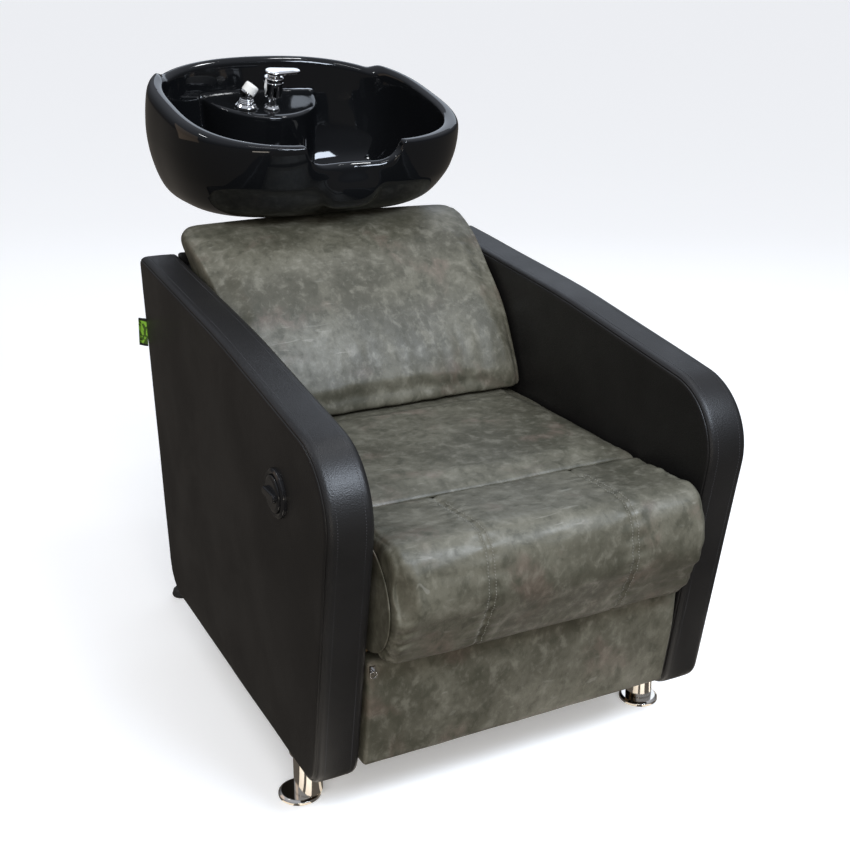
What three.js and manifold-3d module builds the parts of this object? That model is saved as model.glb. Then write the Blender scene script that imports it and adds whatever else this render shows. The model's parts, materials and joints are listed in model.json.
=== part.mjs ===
// Shampoo backwash unit: an upholstered salon armchair with a swing-out leg rest, and a tilting
// ceramic basin carried by a steel stand behind the backrest.
// Units are millimetres. +X is the sitter's left, the chair faces -Y, +Z is up, z = 0 is the floor.

import * as THREE from 'three';
import { mergeVertices } from 'three/addons/utils/BufferGeometryUtils.js';
import Module from 'manifold-3d';

const wasm = await Module();
wasm.setup();

const { clamp, degToRad, lerp, smoothstep } = THREE.MathUtils;

// ---- Driving dimensions ---------------------------------------------------------------------

const GAP = 0.3; // running gap between neighbouring pieces

// Arms
const BODY_HALF_WIDTH = 330; // outer faces of the arms
const ARM_THICKNESS = 68;
const ARM_INNER = BODY_HALF_WIDTH - ARM_THICKNESS;
const ARM_BOTTOM = 79;
const ARM_REAR_TOP = { y: 311, z: 685 };
const ARM_REAR_LEAN = 0.116; // run of the rear edge for each millimetre of height
const ARM_FRONT_TOP = { y: -539, z: 584 };
const ARM_FRONT_BOTTOM_Y = -453;
const ARM_CROWN = 12; // rise of the top edge above a straight line
const ARM_BEVEL = 9;
const CORE_THICKNESS = 18;
const CORE_INSET = 26;

// Seat and back
const SEAT_TOP = 451;
const SEAT_BOARD_TOP = 345;
const SEAT_HALF_WIDTH = 259.5;
const SEAT_REAR = 90;
const BACK_HALF_WIDTH = 259.5;
const BOARD = 15.4; // plywood under the seat
const SIDE_FRAME = 18; // plywood under each arm
const RAIL = 25; // thickness of the wooden rails

// Leg rest: it swings about the centre of the knee roll
const KNEE = { y: -447, z: 368 };
const KNEE_SWEEP = 119; // radius kept free around the knee pivot
const ROLL_HALF_WIDTH = 246;
const PAD_HALF_WIDTH = 258;
const PAD_TOP = 276;
const PAD_BOTTOM = 101;
const PIVOT_PIN_RADIUS = 6;
const PIVOT_TUBE_RADIUS = 12.5;

// Legs
const LEG = { x: 299, y: -350, radius: 21.5, discRadius: 32, discHeight: 8 };
const LEG_DISC_OFFSETS = { left: [-12, 5], right: [-3, -4] };
const LEG_PLATE = { radius: 27, thickness: 4 };

// Rear stand
const STAND_Y = 347;
const STAND_TUBE = 25;
const STAND_X = 284; // centre of each upright
const STAND_TOP = 640;
const STAND_LOWER_BAR_Z = 127;
const GLIDE = { radius: 19, height: 18, stemRadius: 7, stemTop: 52 };

// Basin, in a frame tilted with its rim
const BASIN = { y: 342, z: 933.3, tilt: Math.atan(0.2806), yaw: degToRad(2.5) };
const BASIN_HALF_WIDTH = 263;
const BASIN_HALF_LENGTH = 223.5;
const BASIN_SQUARENESS = 2.85; // exponent of the superellipse of the rim
const BASIN_DEPTH_GROWTH = 0.00141; // the bottom deepens towards the rear by this share per millimetre
const BASIN_SEGMENTS = 48;
const NECK_RECESS = 14;
const REAR_WALL_RAKE = 0.3; // the rear wall comes forward by this share of its depth
const NECK_NOTCH = { halfWidth: 90, depth: 40, corner: 36 };
const REAR_RIM_DROP = 10; // where the rear rim meets the side wings
const DECK = { x: -13, level: -58, halfWidth: 118, length: 145 };
const DRAIN = { y: 396, radius: 24, floor: 757, underside: 741.7 }; // vertical, in the chair's frame
const TILT_PIVOT = { y: 347, z: 705 };

// Fittings on the deck, at the deck level of the tilted basin frame
const MIXER = { x: -16, y: 106, stemRadius: 7.5, stemHeight: 18, radius: 18, height: 42 };
const SHOWER = { x: -62, y: 118, ringRadius: 20.5, stemRadius: 12 };

// Release knob on the outer face of the left arm
const KNOB = { y: -351, z: 491, radius: 26.5, bezelRadius: 35.5, bezelHeight: 7, proud: 15 };

// ---- Materials ------------------------------------------------------------------------------

const finish = (color, roughness, metalness = 0) => () =>
  new THREE.MeshStandardMaterial({ color, roughness, metalness });

const blackLeatherette = finish(0x1b1a1b, 0.55);
const greyLeatherette = finish(0x55564b, 0.5);
const plywood = finish(0xb08a5a, 0.8);
const ceramic = finish(0x050506, 0.05);
const chrome = finish(0xd5d5d8, 0.12, 1);
const blackSteel = finish(0x151515, 0.45, 0.6);
const zincSteel = finish(0x9a9ca0, 0.35, 0.9);
const blackPlastic = finish(0x0d0d0e, 0.25);
const blackRubber = finish(0x141414, 0.85);

// ---- Scene graph ----------------------------------------------------------------------------

const model = new THREE.Group();
const basinFrame = new THREE.Group();
basinFrame.position.set(0, BASIN.y, BASIN.z);
basinFrame.rotation.set(BASIN.tilt, 0, BASIN.yaw, 'ZXY');
basinFrame.updateMatrix();
model.add(basinFrame);

const SIDES = [['left', -1], ['right', 1]];

function addPiece(name, geometry, material, parent = model) {
  const mesh = new THREE.Mesh(geometry, material());
  mesh.name = name;
  parent.add(mesh);
  return mesh;
}

// ---- Geometry helpers -----------------------------------------------------------------------

// Closed outline through [a, b, radius] corners; a corner with no radius stays sharp.
function roundedShape(corners) {
  const shape = new THREE.Shape();
  corners.forEach(([a, b, radius = 0], index) => {
    const corner = new THREE.Vector2(a, b);
    const before = new THREE.Vector2(...corners.at(index - 1).slice(0, 2)).sub(corner).normalize();
    const next = corners[(index + 1) % corners.length];
    const after = new THREE.Vector2(...next.slice(0, 2)).sub(corner).normalize();
    const halfAngle = Math.acos(clamp(before.dot(after), -1, 1)) / 2;
    const reach = radius / Math.tan(halfAngle);
    const start = before.clone().multiplyScalar(reach).add(corner);
    const move = index === 0 ? 'moveTo' : 'lineTo';
    shape[move](start.x, start.y);
    if (radius > 0) {
      const end = after.clone().multiplyScalar(reach).add(corner);
      const toCentre = before.clone().add(after).setLength(radius / Math.sin(halfAngle));
      const centre = toCentre.add(corner);
      const startAngle = Math.atan2(start.y - centre.y, start.x - centre.x);
      const endAngle = Math.atan2(end.y - centre.y, end.x - centre.x);
      shape.absarc(centre.x, centre.y, radius, startAngle, endAngle, before.cross(after) > 0);
    }
  });
  shape.closePath();
  return shape;
}

function extrude(shape, from, to, bevel = 0, curveSegments = 4) {
  const geometry = new THREE.ExtrudeGeometry(shape, {
    depth: to - from - 2 * bevel,
    curveSegments,
    bevelEnabled: bevel > 0,
    bevelThickness: bevel,
    bevelSize: bevel,
    bevelOffset: -bevel,
    bevelSegments: 1,
  });
  return geometry.translate(0, 0, from + bevel);
}

// Extrudes an outline drawn in (y, z) along X.
const TO_SIDE_VIEW = new THREE.Matrix4().makeBasis(
  new THREE.Vector3(0, 1, 0),
  new THREE.Vector3(0, 0, 1),
  new THREE.Vector3(1, 0, 0),
);
const extrudeX = (...args) => extrude(...args).applyMatrix4(TO_SIDE_VIEW);

// The same, on one side of the chair: from and to are distances from the middle plane.
function extrudeSide(sign, shape, from, to, bevel, curveSegments) {
  const [low, high] = sign < 0 ? [-to, -from] : [from, to];
  return extrudeX(shape, low, high, bevel, curveSegments);
}

function box([x0, x1], [y0, y1], [z0, z1]) {
  const geometry = new THREE.BoxGeometry(x1 - x0, y1 - y0, z1 - z0);
  return geometry.translate((x0 + x1) / 2, (y0 + y1) / 2, (z0 + z1) / 2);
}

const mirrored = (sign, from, to) => (sign < 0 ? [-to, -from] : [from, to]);

// Turned piece about the Z axis, from [radius, height] points.
function turned(points, segments = 20) {
  const outline = points.map(([radius, height]) => new THREE.Vector2(radius, height));
  return new THREE.LatheGeometry(outline, segments).rotateX(Math.PI / 2);
}

function rod(radius, from, to, segments = 16) {
  return turned([[0, from], [radius, from], [radius, to], [0, to]], segments);
}

// Lays a piece built along Z along the X axis instead, through (y, z).
const layAlongX = (geometry, y, z) => geometry.rotateY(Math.PI / 2).translate(0, y, z);

function solidOf(geometry) {
  const bare = geometry.clone();
  bare.deleteAttribute('normal');
  bare.deleteAttribute('uv');
  const merged = mergeVertices(bare, 1e-4);
  const index = Array.from(merged.index.array);
  const triVerts = [];
  for (let i = 0; i < index.length; i += 3) {
    const [a, b, c] = index.slice(i, i + 3);
    if (a !== b && b !== c && c !== a) triVerts.push(a, b, c);
  }
  const mesh = new wasm.Mesh({
    numProp: 3,
    vertProperties: new Float32Array(merged.attributes.position.array),
    triVerts: new Uint32Array(triVerts),
  });
  return new wasm.Manifold(mesh);
}

function geometryOf(solid) {
  const mesh = solid.getMesh();
  const geometry = new THREE.BufferGeometry();
  geometry.setAttribute('position', new THREE.BufferAttribute(new Float32Array(mesh.vertProperties), 3));
  geometry.setIndex(new THREE.BufferAttribute(new Uint32Array(mesh.triVerts), 1));
  geometry.computeVertexNormals();
  return geometry;
}

const cut = (base, ...tools) =>
  geometryOf(tools.reduce((solid, tool) => solid.subtract(solidOf(tool)), solidOf(base)));
const join = (base, ...others) =>
  geometryOf(others.reduce((solid, other) => solid.add(solidOf(other)), solidOf(base)));

// ---- Arms -----------------------------------------------------------------------------------

function armShape(inset = 0) {
  const topMiddle = {
    y: (ARM_REAR_TOP.y + ARM_FRONT_TOP.y) / 2,
    z: (ARM_REAR_TOP.z + ARM_FRONT_TOP.z) / 2 + ARM_CROWN,
  };
  const rearBottomY = ARM_REAR_TOP.y - ARM_REAR_LEAN * (ARM_REAR_TOP.z - ARM_BOTTOM);
  return roundedShape([
    [ARM_REAR_TOP.y - inset, ARM_REAR_TOP.z - inset, 12],
    [topMiddle.y, topMiddle.z - inset, 2500],
    [ARM_FRONT_TOP.y + inset, ARM_FRONT_TOP.z - inset, 105 - inset],
    [ARM_FRONT_BOTTOM_Y + inset, ARM_BOTTOM + inset, 38 - inset],
    [rearBottomY - inset, ARM_BOTTOM + inset, 62 - inset],
  ]);
}

function addArms() {
  const coreFrom = ARM_INNER + (ARM_THICKNESS - CORE_THICKNESS) / 2;
  const coreTo = coreFrom + CORE_THICKNESS;
  for (const [side, sign] of SIDES) {
    const pad = extrudeSide(sign, armShape(), ARM_INNER, BODY_HALF_WIDTH, ARM_BEVEL);
    const slot = extrudeSide(sign, armShape(CORE_INSET - GAP), coreFrom - GAP, coreTo + GAP);
    const slotBelow = slot.clone().translate(0, 0, -CORE_INSET); // the slot is open underneath
    const tools = [slot, slotBelow];
    if (side === 'left') tools.push(knobSocket());
    addPiece(`arm_pad_${side}`, cut(pad, ...tools), blackLeatherette);
    const core = extrudeSide(sign, armShape(CORE_INSET), coreFrom, coreTo);
    addPiece(`arm_core_${side}`, core, plywood);
  }
}

function knobSocket() {
  return layAlongX(rod(6.5, -BODY_HALF_WIDTH - 5, -BODY_HALF_WIDTH + 20), KNOB.y, KNOB.z);
}

// ---- Wooden frame ---------------------------------------------------------------------------

function addFrame() {
  const frameOuter = ARM_INNER - GAP;
  const frameInner = frameOuter - SIDE_FRAME;
  const sideShape = roundedShape([
    [-318, 90],
    [205, 90],
    [236, 330],
    [275, 640],
    [262, 670],
    [119, 470],
    [119, SEAT_BOARD_TOP - BOARD - GAP],
    [-318, SEAT_BOARD_TOP - BOARD - GAP],
  ]);
  for (const [side, sign] of SIDES) {
    addPiece(`side_frame_${side}`, extrudeSide(sign, sideShape, frameInner, frameOuter), plywood);
  }
  const span = [-frameInner + GAP, frameInner - GAP];
  addPiece('base_rail_front', box(span, [-318, -318 + RAIL], [90, 150]), plywood);
  addPiece('base_rail_rear', box(span, [178, 178 + RAIL], [90, 150]), plywood);
  addPiece('seat_rail_front', box(span, [-318, -318 + RAIL], [285, 329]), plywood);
  addPiece('back_rail', box(span, [130, 130 + RAIL], [400, 445]), plywood);
  const boardHeights = [SEAT_BOARD_TOP - BOARD, SEAT_BOARD_TOP];
  const seatBoard = box([-frameOuter, frameOuter], [-320, SEAT_REAR], boardHeights);
  addPiece('seat_board', seatBoard, plywood);
}

// ---- Seat and back --------------------------------------------------------------------------

// Line of the back board, from the seat up to the shoulder.
const BACK_FOOT = new THREE.Vector2(97, 457);
const BACK_HEAD = new THREE.Vector2(268, 697);

function addSeat() {
  const sweepTop = Math.asin((SEAT_TOP - KNEE.z) / KNEE_SWEEP);
  const bottom = SEAT_BOARD_TOP + GAP;
  const sweepBottom = Math.asin((bottom - KNEE.z) / KNEE_SWEEP);
  const shape = new THREE.Shape();
  shape.moveTo(SEAT_REAR, bottom);
  shape.lineTo(SEAT_REAR, SEAT_TOP - 12);
  shape.lineTo(SEAT_REAR - 12, SEAT_TOP);
  shape.quadraticCurveTo(-180, SEAT_TOP + 2, KNEE.y + KNEE_SWEEP * Math.cos(sweepTop), SEAT_TOP);
  shape.absarc(KNEE.y, KNEE.z, KNEE_SWEEP, sweepTop, sweepBottom, true);
  shape.closePath();
  addPiece('seat_cushion', extrudeX(shape, -SEAT_HALF_WIDTH, SEAT_HALF_WIDTH, 0, 8), greyLeatherette);
}

function addBack() {
  const along = BACK_HEAD.clone().sub(BACK_FOOT).normalize();
  const behind = new THREE.Vector2(along.y, -along.x).multiplyScalar(12);
  const rest = new THREE.Vector2(along.y, -along.x).multiplyScalar(-GAP);
  const shape = new THREE.Shape();
  shape.moveTo(BACK_FOOT.x + rest.x, BACK_FOOT.y + rest.y);
  shape.lineTo(BACK_HEAD.x + rest.x, BACK_HEAD.y + rest.y);
  shape.lineTo(287, 712);
  shape.quadraticCurveTo(290, 731, 268, 731);
  shape.bezierCurveTo(190, 715, 110, 665, 60, 600);
  shape.bezierCurveTo(25, 552, 0, 505, -12, SEAT_TOP + 6);
  shape.closePath();
  const cushion = extrudeX(shape, -BACK_HALF_WIDTH, BACK_HALF_WIDTH, 8, 7);
  addPiece('back_cushion', cushion, greyLeatherette);

  const board = roundedShape([
    [BACK_FOOT.x, BACK_FOOT.y],
    [BACK_HEAD.x, BACK_HEAD.y],
    [BACK_HEAD.x + behind.x, BACK_HEAD.y + behind.y],
    [BACK_FOOT.x + behind.x, BACK_FOOT.y + behind.y],
  ]);
  const boardHalfWidth = ARM_INNER - GAP - SIDE_FRAME - GAP;
  addPiece('back_board', extrudeX(board, -boardHalfWidth, boardHalfWidth), plywood);

  const rearEdge = (z) => ARM_REAR_TOP.y - ARM_REAR_LEAN * (ARM_REAR_TOP.z - z) - 4;
  const panel = roundedShape([
    [rearEdge(165), 165],
    [rearEdge(685), 685],
    [rearEdge(685) - 12, 685],
    [rearEdge(165) - 12, 165],
  ]);
  const panelHalfWidth = ARM_INNER - GAP;
  addPiece('rear_panel', extrudeX(panel, -panelHalfWidth, panelHalfWidth), blackLeatherette);
}

// ---- Leg rest -------------------------------------------------------------------------------

// Rod through the knee pivot, from one X to the other.
function pivotRod(radius, from, to) {
  return layAlongX(rod(radius, from, to), KNEE.y, KNEE.z);
}

function addLegRest() {
  const rollShape = roundedShape([
    [KNEE.y + 66, KNEE.z + 90, 26],
    [KNEE.y - 97, KNEE.z + 100, 46],
    [KNEE.y - 114, KNEE.z + 10, 60],
    [KNEE.y - 66, KNEE.z - 88, 30],
    [KNEE.y + 40, KNEE.z - 90, 40],
    [KNEE.y + 92, KNEE.z - 10, 40],
  ]);
  const roll = extrudeX(rollShape, -ROLL_HALF_WIDTH, ROLL_HALF_WIDTH, 14);
  const bore = pivotRod(PIVOT_TUBE_RADIUS + GAP, -ROLL_HALF_WIDTH - 1, ROLL_HALF_WIDTH + 1);
  addPiece('knee_roll', cut(roll, bore), greyLeatherette);

  const tube = pivotRod(PIVOT_TUBE_RADIUS, -ROLL_HALF_WIDTH - 1, ROLL_HALF_WIDTH + 1);
  const tubeBore = pivotRod(PIVOT_PIN_RADIUS + GAP, -ROLL_HALF_WIDTH - 2, ROLL_HALF_WIDTH + 2);
  addPiece('leg_rest_tube', cut(tube, tubeBore), zincSteel);

  const padShape = roundedShape([
    [-479, PAD_TOP, 6],
    [-477, 210, 400],
    [-459, PAD_BOTTOM, 8],
    [-424, PAD_BOTTOM, 4],
    [-444, PAD_TOP, 4],
  ]);
  const pad = extrudeX(padShape, -PAD_HALF_WIDTH, PAD_HALF_WIDTH, 3, 3);
  addPiece('leg_rest_pad', pad, greyLeatherette);

  const boardShape = roundedShape([
    [-444 + GAP, PAD_TOP],
    [-424 + GAP, PAD_BOTTOM],
    [-412, PAD_BOTTOM],
    [-432, PAD_TOP],
  ]);
  addPiece('leg_rest_board', extrudeX(boardShape, -250, 250), plywood);

  const strapShape = roundedShape([
    [KNEE.y - 16, KNEE.z + 16, 15],
    [KNEE.y + 16, KNEE.z + 16, 15],
    [-418, 290, 10],
    [-401, 130, 7],
    [-420, 130, 7],
    [-440, 280, 10],
    [KNEE.y - 16, KNEE.z - 30, 10],
  ]);
  for (const [side, sign] of SIDES) {
    const capShape = new THREE.Shape().absarc(KNEE.y, KNEE.z, 84, 0, 2 * Math.PI);
    const [capFrom, capTo] = mirrored(sign, ROLL_HALF_WIDTH + 1 + GAP, 250);
    const hole = pivotRod(PIVOT_PIN_RADIUS + GAP, ...mirrored(sign, 240, 260));
    const cap = extrudeX(capShape, capFrom, capTo, 0, 10);
    addPiece(`roll_end_${side}`, cut(cap, hole), greyLeatherette);
    const strap = extrudeSide(sign, strapShape, 250 + GAP, 255);
    addPiece(`leg_rest_strap_${side}`, cut(strap, hole), blackSteel);
    const pin = turned([
      [0, 230],
      [PIVOT_PIN_RADIUS, 230],
      [PIVOT_PIN_RADIUS, 257],
      [20, 257],
      [20, ARM_INNER - GAP],
      [0, ARM_INNER - GAP],
    ]);
    pin.rotateY(sign * Math.PI / 2);
    addPiece(`pivot_pin_${side}`, pin.translate(0, KNEE.y, KNEE.z), zincSteel);
  }
}

// Zip of the leg rest cover: the slider on the pad's left top corner and the ring that hangs on it.
const ZIP = { x: -252, y: -479.5, z: 268 };

function addZip() {
  const slider = box([ZIP.x - 3.5, ZIP.x + 3.5], [ZIP.y - 3.5, ZIP.y], [ZIP.z - 5, ZIP.z + 5]);
  const lug = box([ZIP.x - 1.2, ZIP.x + 1.2], [ZIP.y - 8.5, ZIP.y - 3], [ZIP.z - 4, ZIP.z + 2]);
  const eye = layAlongX(rod(1.4, ZIP.x - 4, ZIP.x + 4, 10), ZIP.y - 5.7, ZIP.z - 1);
  addPiece('zip_slider', cut(join(slider, lug), eye), chrome);
  const ringRadius = 5;
  const ring = new THREE.TorusGeometry(ringRadius, 0.8, 6, 16).rotateX(Math.PI / 2);
  addPiece('zip_ring', ring.translate(ZIP.x, ZIP.y - 5.7, ZIP.z - 1 - ringRadius), chrome);
}

// ---- Legs and feet --------------------------------------------------------------------------

function addLegs() {
  const plateTop = ARM_BOTTOM - GAP;
  for (const [side, sign] of SIDES) {
    const [offsetX, offsetY] = LEG_DISC_OFFSETS[side];
    const disc = turned([
      [0, 0],
      [LEG.discRadius - 1.5, 0],
      [LEG.discRadius, 1.5],
      [LEG.discRadius, LEG.discHeight - 2],
      [LEG.discRadius - 3, LEG.discHeight],
      [0, LEG.discHeight],
    ], 28);
    disc.translate(sign * LEG.x + offsetX, LEG.y + offsetY, 0);
    addPiece(`leg_disc_${side}`, disc, chrome);
    const tube = turned([
      [0, LEG.discHeight + GAP],
      [LEG.radius, LEG.discHeight + GAP],
      [LEG.radius, plateTop - LEG_PLATE.thickness],
      [LEG_PLATE.radius, plateTop - LEG_PLATE.thickness],
      [LEG_PLATE.radius, plateTop],
      [0, plateTop],
    ], 28);
    addPiece(`leg_tube_${side}`, tube.translate(sign * LEG.x, LEG.y, 0), chrome);
  }
}

// ---- Rear stand -----------------------------------------------------------------------------

function addStand() {
  const half = STAND_TUBE / 2;
  const depth = [STAND_Y - half, STAND_Y + half];
  const uprightFoot = GLIDE.stemTop;
  for (const [side, sign] of SIDES) {
    const upright = box(mirrored(sign, STAND_X - half, STAND_X + half), depth, [uprightFoot, STAND_TOP]);
    addPiece(`stand_upright_${side}`, upright, blackSteel);
    const glide = turned([
      [0, 0],
      [GLIDE.radius - 2, 0],
      [GLIDE.radius, 4],
      [GLIDE.radius - 3, GLIDE.height - 5],
      [GLIDE.stemRadius + 4, GLIDE.height],
      [GLIDE.stemRadius, GLIDE.height],
      [GLIDE.stemRadius, uprightFoot - GAP],
      [0, uprightFoot - GAP],
    ]);
    addPiece(`foot_rear_${side}`, glide.translate(sign * STAND_X, STAND_Y, 0), blackRubber);
    const tie = box(mirrored(sign, 212, 237), [203 + GAP, STAND_Y - half - GAP], [115, 140]);
    addPiece(`stand_tie_${side}`, tie, blackSteel);
  }
  const span = [-STAND_X + half + GAP, STAND_X - half - GAP];
  const lower = [STAND_LOWER_BAR_Z - half, STAND_LOWER_BAR_Z + half];
  addPiece('stand_bar_lower', box(span, depth, lower), blackSteel);
  addPiece('stand_bar_upper', box(span, depth, [STAND_TOP - STAND_TUBE, STAND_TOP]), blackSteel);
}

// ---- Tilt hinge of the basin ----------------------------------------------------------------

const TILT_PIN_RADIUS = 7;
const CHEEK = { from: 48, to: 54 };
const EAR = { from: 56, to: 61 };

function tiltHole(radius, halfLength) {
  return layAlongX(rod(radius, -halfLength, halfLength), TILT_PIVOT.y, TILT_PIVOT.z);
}

function addTiltHinge() {
  const { y, z } = TILT_PIVOT;
  const cheekShape = roundedShape([
    [y - 12, STAND_TOP + GAP],
    [y + 12, STAND_TOP + GAP],
    [y + 18, z + 18, 16],
    [y - 18, z + 18, 16],
  ]);
  for (const [side, sign] of SIDES) {
    const cheek = extrudeSide(sign, cheekShape, CHEEK.from, CHEEK.to);
    addPiece(`stand_cheek_${side}`, cut(cheek, tiltHole(TILT_PIN_RADIUS + GAP, 80)), blackSteel);
  }
  const pin = turned([
    [0, -72],
    [12, -72],
    [12, -66],
    [TILT_PIN_RADIUS, -66],
    [TILT_PIN_RADIUS, 66],
    [12, 66],
    [12, 72],
    [0, 72],
  ]);
  addPiece('tilt_pin', layAlongX(pin, y, z), zincSteel);
}

function addBasinBracket() {
  const { y, z } = TILT_PIVOT;
  const plateTop = 741;
  const plate = box([-75, 75], [312, 470], [plateTop - 5, plateTop]);
  const drainPassage = rod(40, plateTop - 10, plateTop + 5, 32).translate(0, DRAIN.y, 0);
  const earShape = roundedShape([
    [y - 30, plateTop - 2],
    [y - 16, z - 16, 15],
    [y + 16, z - 16, 15],
    [y + 30, plateTop - 2],
  ]);
  const ears = SIDES.map(([, sign]) => extrudeSide(sign, earShape, EAR.from, EAR.to));
  const bracket = solidOf(join(plate, ...ears))
    .subtract(solidOf(drainPassage))
    .subtract(solidOf(tiltHole(TILT_PIN_RADIUS + GAP, 80)));
  addPiece('basin_bracket', geometryOf(bracket), blackSteel);
}

// ---- Basin ----------------------------------------------------------------------------------

// Profiles as [share of the rim outline, height below the rim].
const OUTER_PROFILE = [
  [0, -199],
  [0.5, -199],
  [0.71, -195],
  [0.83, -182],
  [0.915, -158],
  [0.985, -118],
  [1.025, -78],
  [1.035, -45],
  [1.03, -18],
  [1.015, -5],
];
const RIM_PROFILE = [[0.995, 0], [0.965, 2], [0.935, 0]];
const INNER_PROFILE = [
  [0.918, -7],
  [0.912, -40],
  [0.9, -80],
  [0.868, -115],
  [0.795, -150],
  [0.65, -172],
  [0.43, -181],
  [0, -184],
];
const WALL_MIDDLE_PROFILE = [
  [0, -192],
  [0.48, -191],
  [0.76, -179],
  [0.89, -148],
  [0.965, -90],
  [0.97, -30],
  [0, -30],
];

const signedPower = (value, exponent) => Math.sign(value) * Math.abs(value) ** exponent;

// Moves the points of a turned basin from a round plan to the plan of the real rim.
function shapeBasin(geometry) {
  const position = geometry.attributes.position;
  const exponent = 2 / BASIN_SQUARENESS;
  for (let i = 0; i < position.count; i += 1) {
    const share = Math.hypot(position.getX(i), position.getY(i));
    const angle = Math.atan2(position.getY(i), position.getX(i));
    const squareness = smoothstep(share, 0.1, 0.5);
    const roundX = BASIN_HALF_LENGTH * Math.cos(angle);
    const roundY = BASIN_HALF_LENGTH * Math.sin(angle);
    const rimX = BASIN_HALF_WIDTH * signedPower(Math.cos(angle), exponent);
    const rimY = BASIN_HALF_LENGTH * signedPower(Math.sin(angle), exponent);
    const lengthShare = share > 1 ? 1 + (share - 1) * 0.2 : share;
    const x = share * lerp(roundX, rimX, squareness);
    let y = lengthShare * lerp(roundY, rimY, squareness);
    const height = position.getZ(i);
    y += NECK_RECESS * Math.exp(-((x / 75) ** 2)) * smoothstep(-y, 120, 200);
    y += Math.min(height, 0) * REAR_WALL_RAKE * smoothstep(y, 60, 220);
    let z = height * (1 + BASIN_DEPTH_GROWTH * y);
    const rearness = smoothstep(y, 90, 130) * (1 - smoothstep(Math.abs(x), 205, 228));
    const rimDrop = REAR_RIM_DROP * (x / 205) ** 2;
    z -= rimDrop * rearness * smoothstep(z, -60, -10);
    position.setXYZ(i, x, y, z);
  }
  return geometry;
}

function neckNotch() {
  const { halfWidth, depth, corner } = NECK_NOTCH;
  const shape = roundedShape([
    [-halfWidth, 30],
    [-halfWidth, -depth + 6, corner],
    [0, -depth - 4, 200],
    [halfWidth, -depth + 6, corner],
    [halfWidth, 30],
  ]);
  return extrude(shape, BASIN_HALF_LENGTH - 75, BASIN_HALF_LENGTH + 40).rotateX(Math.PI / 2);
}

function addBasin() {
  const closed = [...OUTER_PROFILE, ...RIM_PROFILE, ...INNER_PROFILE];
  const shell = solidOf(shapeBasin(turned(closed, BASIN_SEGMENTS)));
  const wallMiddle = solidOf(shapeBasin(turned(WALL_MIDDLE_PROFILE, BASIN_SEGMENTS)));

  const deckShape = new THREE.Shape();
  deckShape.absellipse(DECK.x, BASIN_HALF_LENGTH - 18, DECK.halfWidth, DECK.length, 0, 2 * Math.PI);
  const deck = solidOf(extrude(deckShape, -195, DECK.level, 0, 14)).intersect(wallMiddle);

  const rampShape = roundedShape([
    [-BASIN_HALF_LENGTH + 4, -NECK_NOTCH.depth - 2],
    [-128, -76, 12],
    [-122, -200],
    [-BASIN_HALF_LENGTH + 4, -200],
  ]);
  const ramp = solidOf(extrudeX(rampShape, -80, 80)).intersect(wallMiddle);

  const lipShape = roundedShape([
    [-50, -BASIN_HALF_LENGTH, 22],
    [50, -BASIN_HALF_LENGTH, 22],
    [44, -BASIN_HALF_LENGTH + 45],
    [-44, -BASIN_HALF_LENGTH + 45],
  ]);
  const lip = solidOf(extrude(lipShape, -120, -58, 4));

  const toBasinFrame = new THREE.Matrix4().copy(basinFrame.matrix).invert();
  const drainHole = rod(DRAIN.radius, DRAIN.underside - 40, DRAIN.floor + 40, 32);
  drainHole.translate(0, DRAIN.y, 0).applyMatrix4(toBasinFrame);
  const cradleBore = rod(SHOWER.stemRadius + 3.5, DECK.level - 55, DECK.level + 20, 24);
  cradleBore.translate(SHOWER.x, SHOWER.y, 0);
  const basin = shell
    .subtract(solidOf(neckNotch()))
    .add(ramp)
    .add(deck)
    .add(lip)
    .subtract(solidOf(cradleBore))
    .subtract(solidOf(drainHole));
  addPiece('basin', geometryOf(basin), ceramic, basinFrame);
}

function addDrain() {
  const tubeRadius = DRAIN.radius - 1;
  const seat = DRAIN.floor + 1.6; // the floor falls a little towards the neck
  const flange = turned([
    [20, DRAIN.underside - 4],
    [tubeRadius, DRAIN.underside - 4],
    [tubeRadius, seat],
    [34, seat],
    [33, seat + 3],
    [20, seat + 3],
    [20, DRAIN.underside - 4],
  ]);
  addPiece('drain_flange', flange.translate(0, DRAIN.y, 0), chrome);
  const trap = turned([[0, seat - 4], [19, seat - 4], [19, seat + 1], [8, seat + 5], [0, seat + 6]]);
  addPiece('hair_trap', trap.translate(0, DRAIN.y, 0), chrome);
  const nutTop = DRAIN.underside - GAP;
  const tailFoot = nutTop - 70;
  const tail = turned([
    [20, tailFoot],
    [24, tailFoot],
    [24, nutTop - 26],
    [31, nutTop - 26],
    [31, nutTop],
    [tubeRadius + GAP, nutTop],
    [tubeRadius + GAP, DRAIN.underside - 4 - GAP],
    [20, DRAIN.underside - 4 - GAP],
    [20, tailFoot],
  ]);
  addPiece('drain_tail', tail.translate(0, DRAIN.y, 0), blackPlastic);
}

// ---- Deck fittings --------------------------------------------------------------------------

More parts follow.
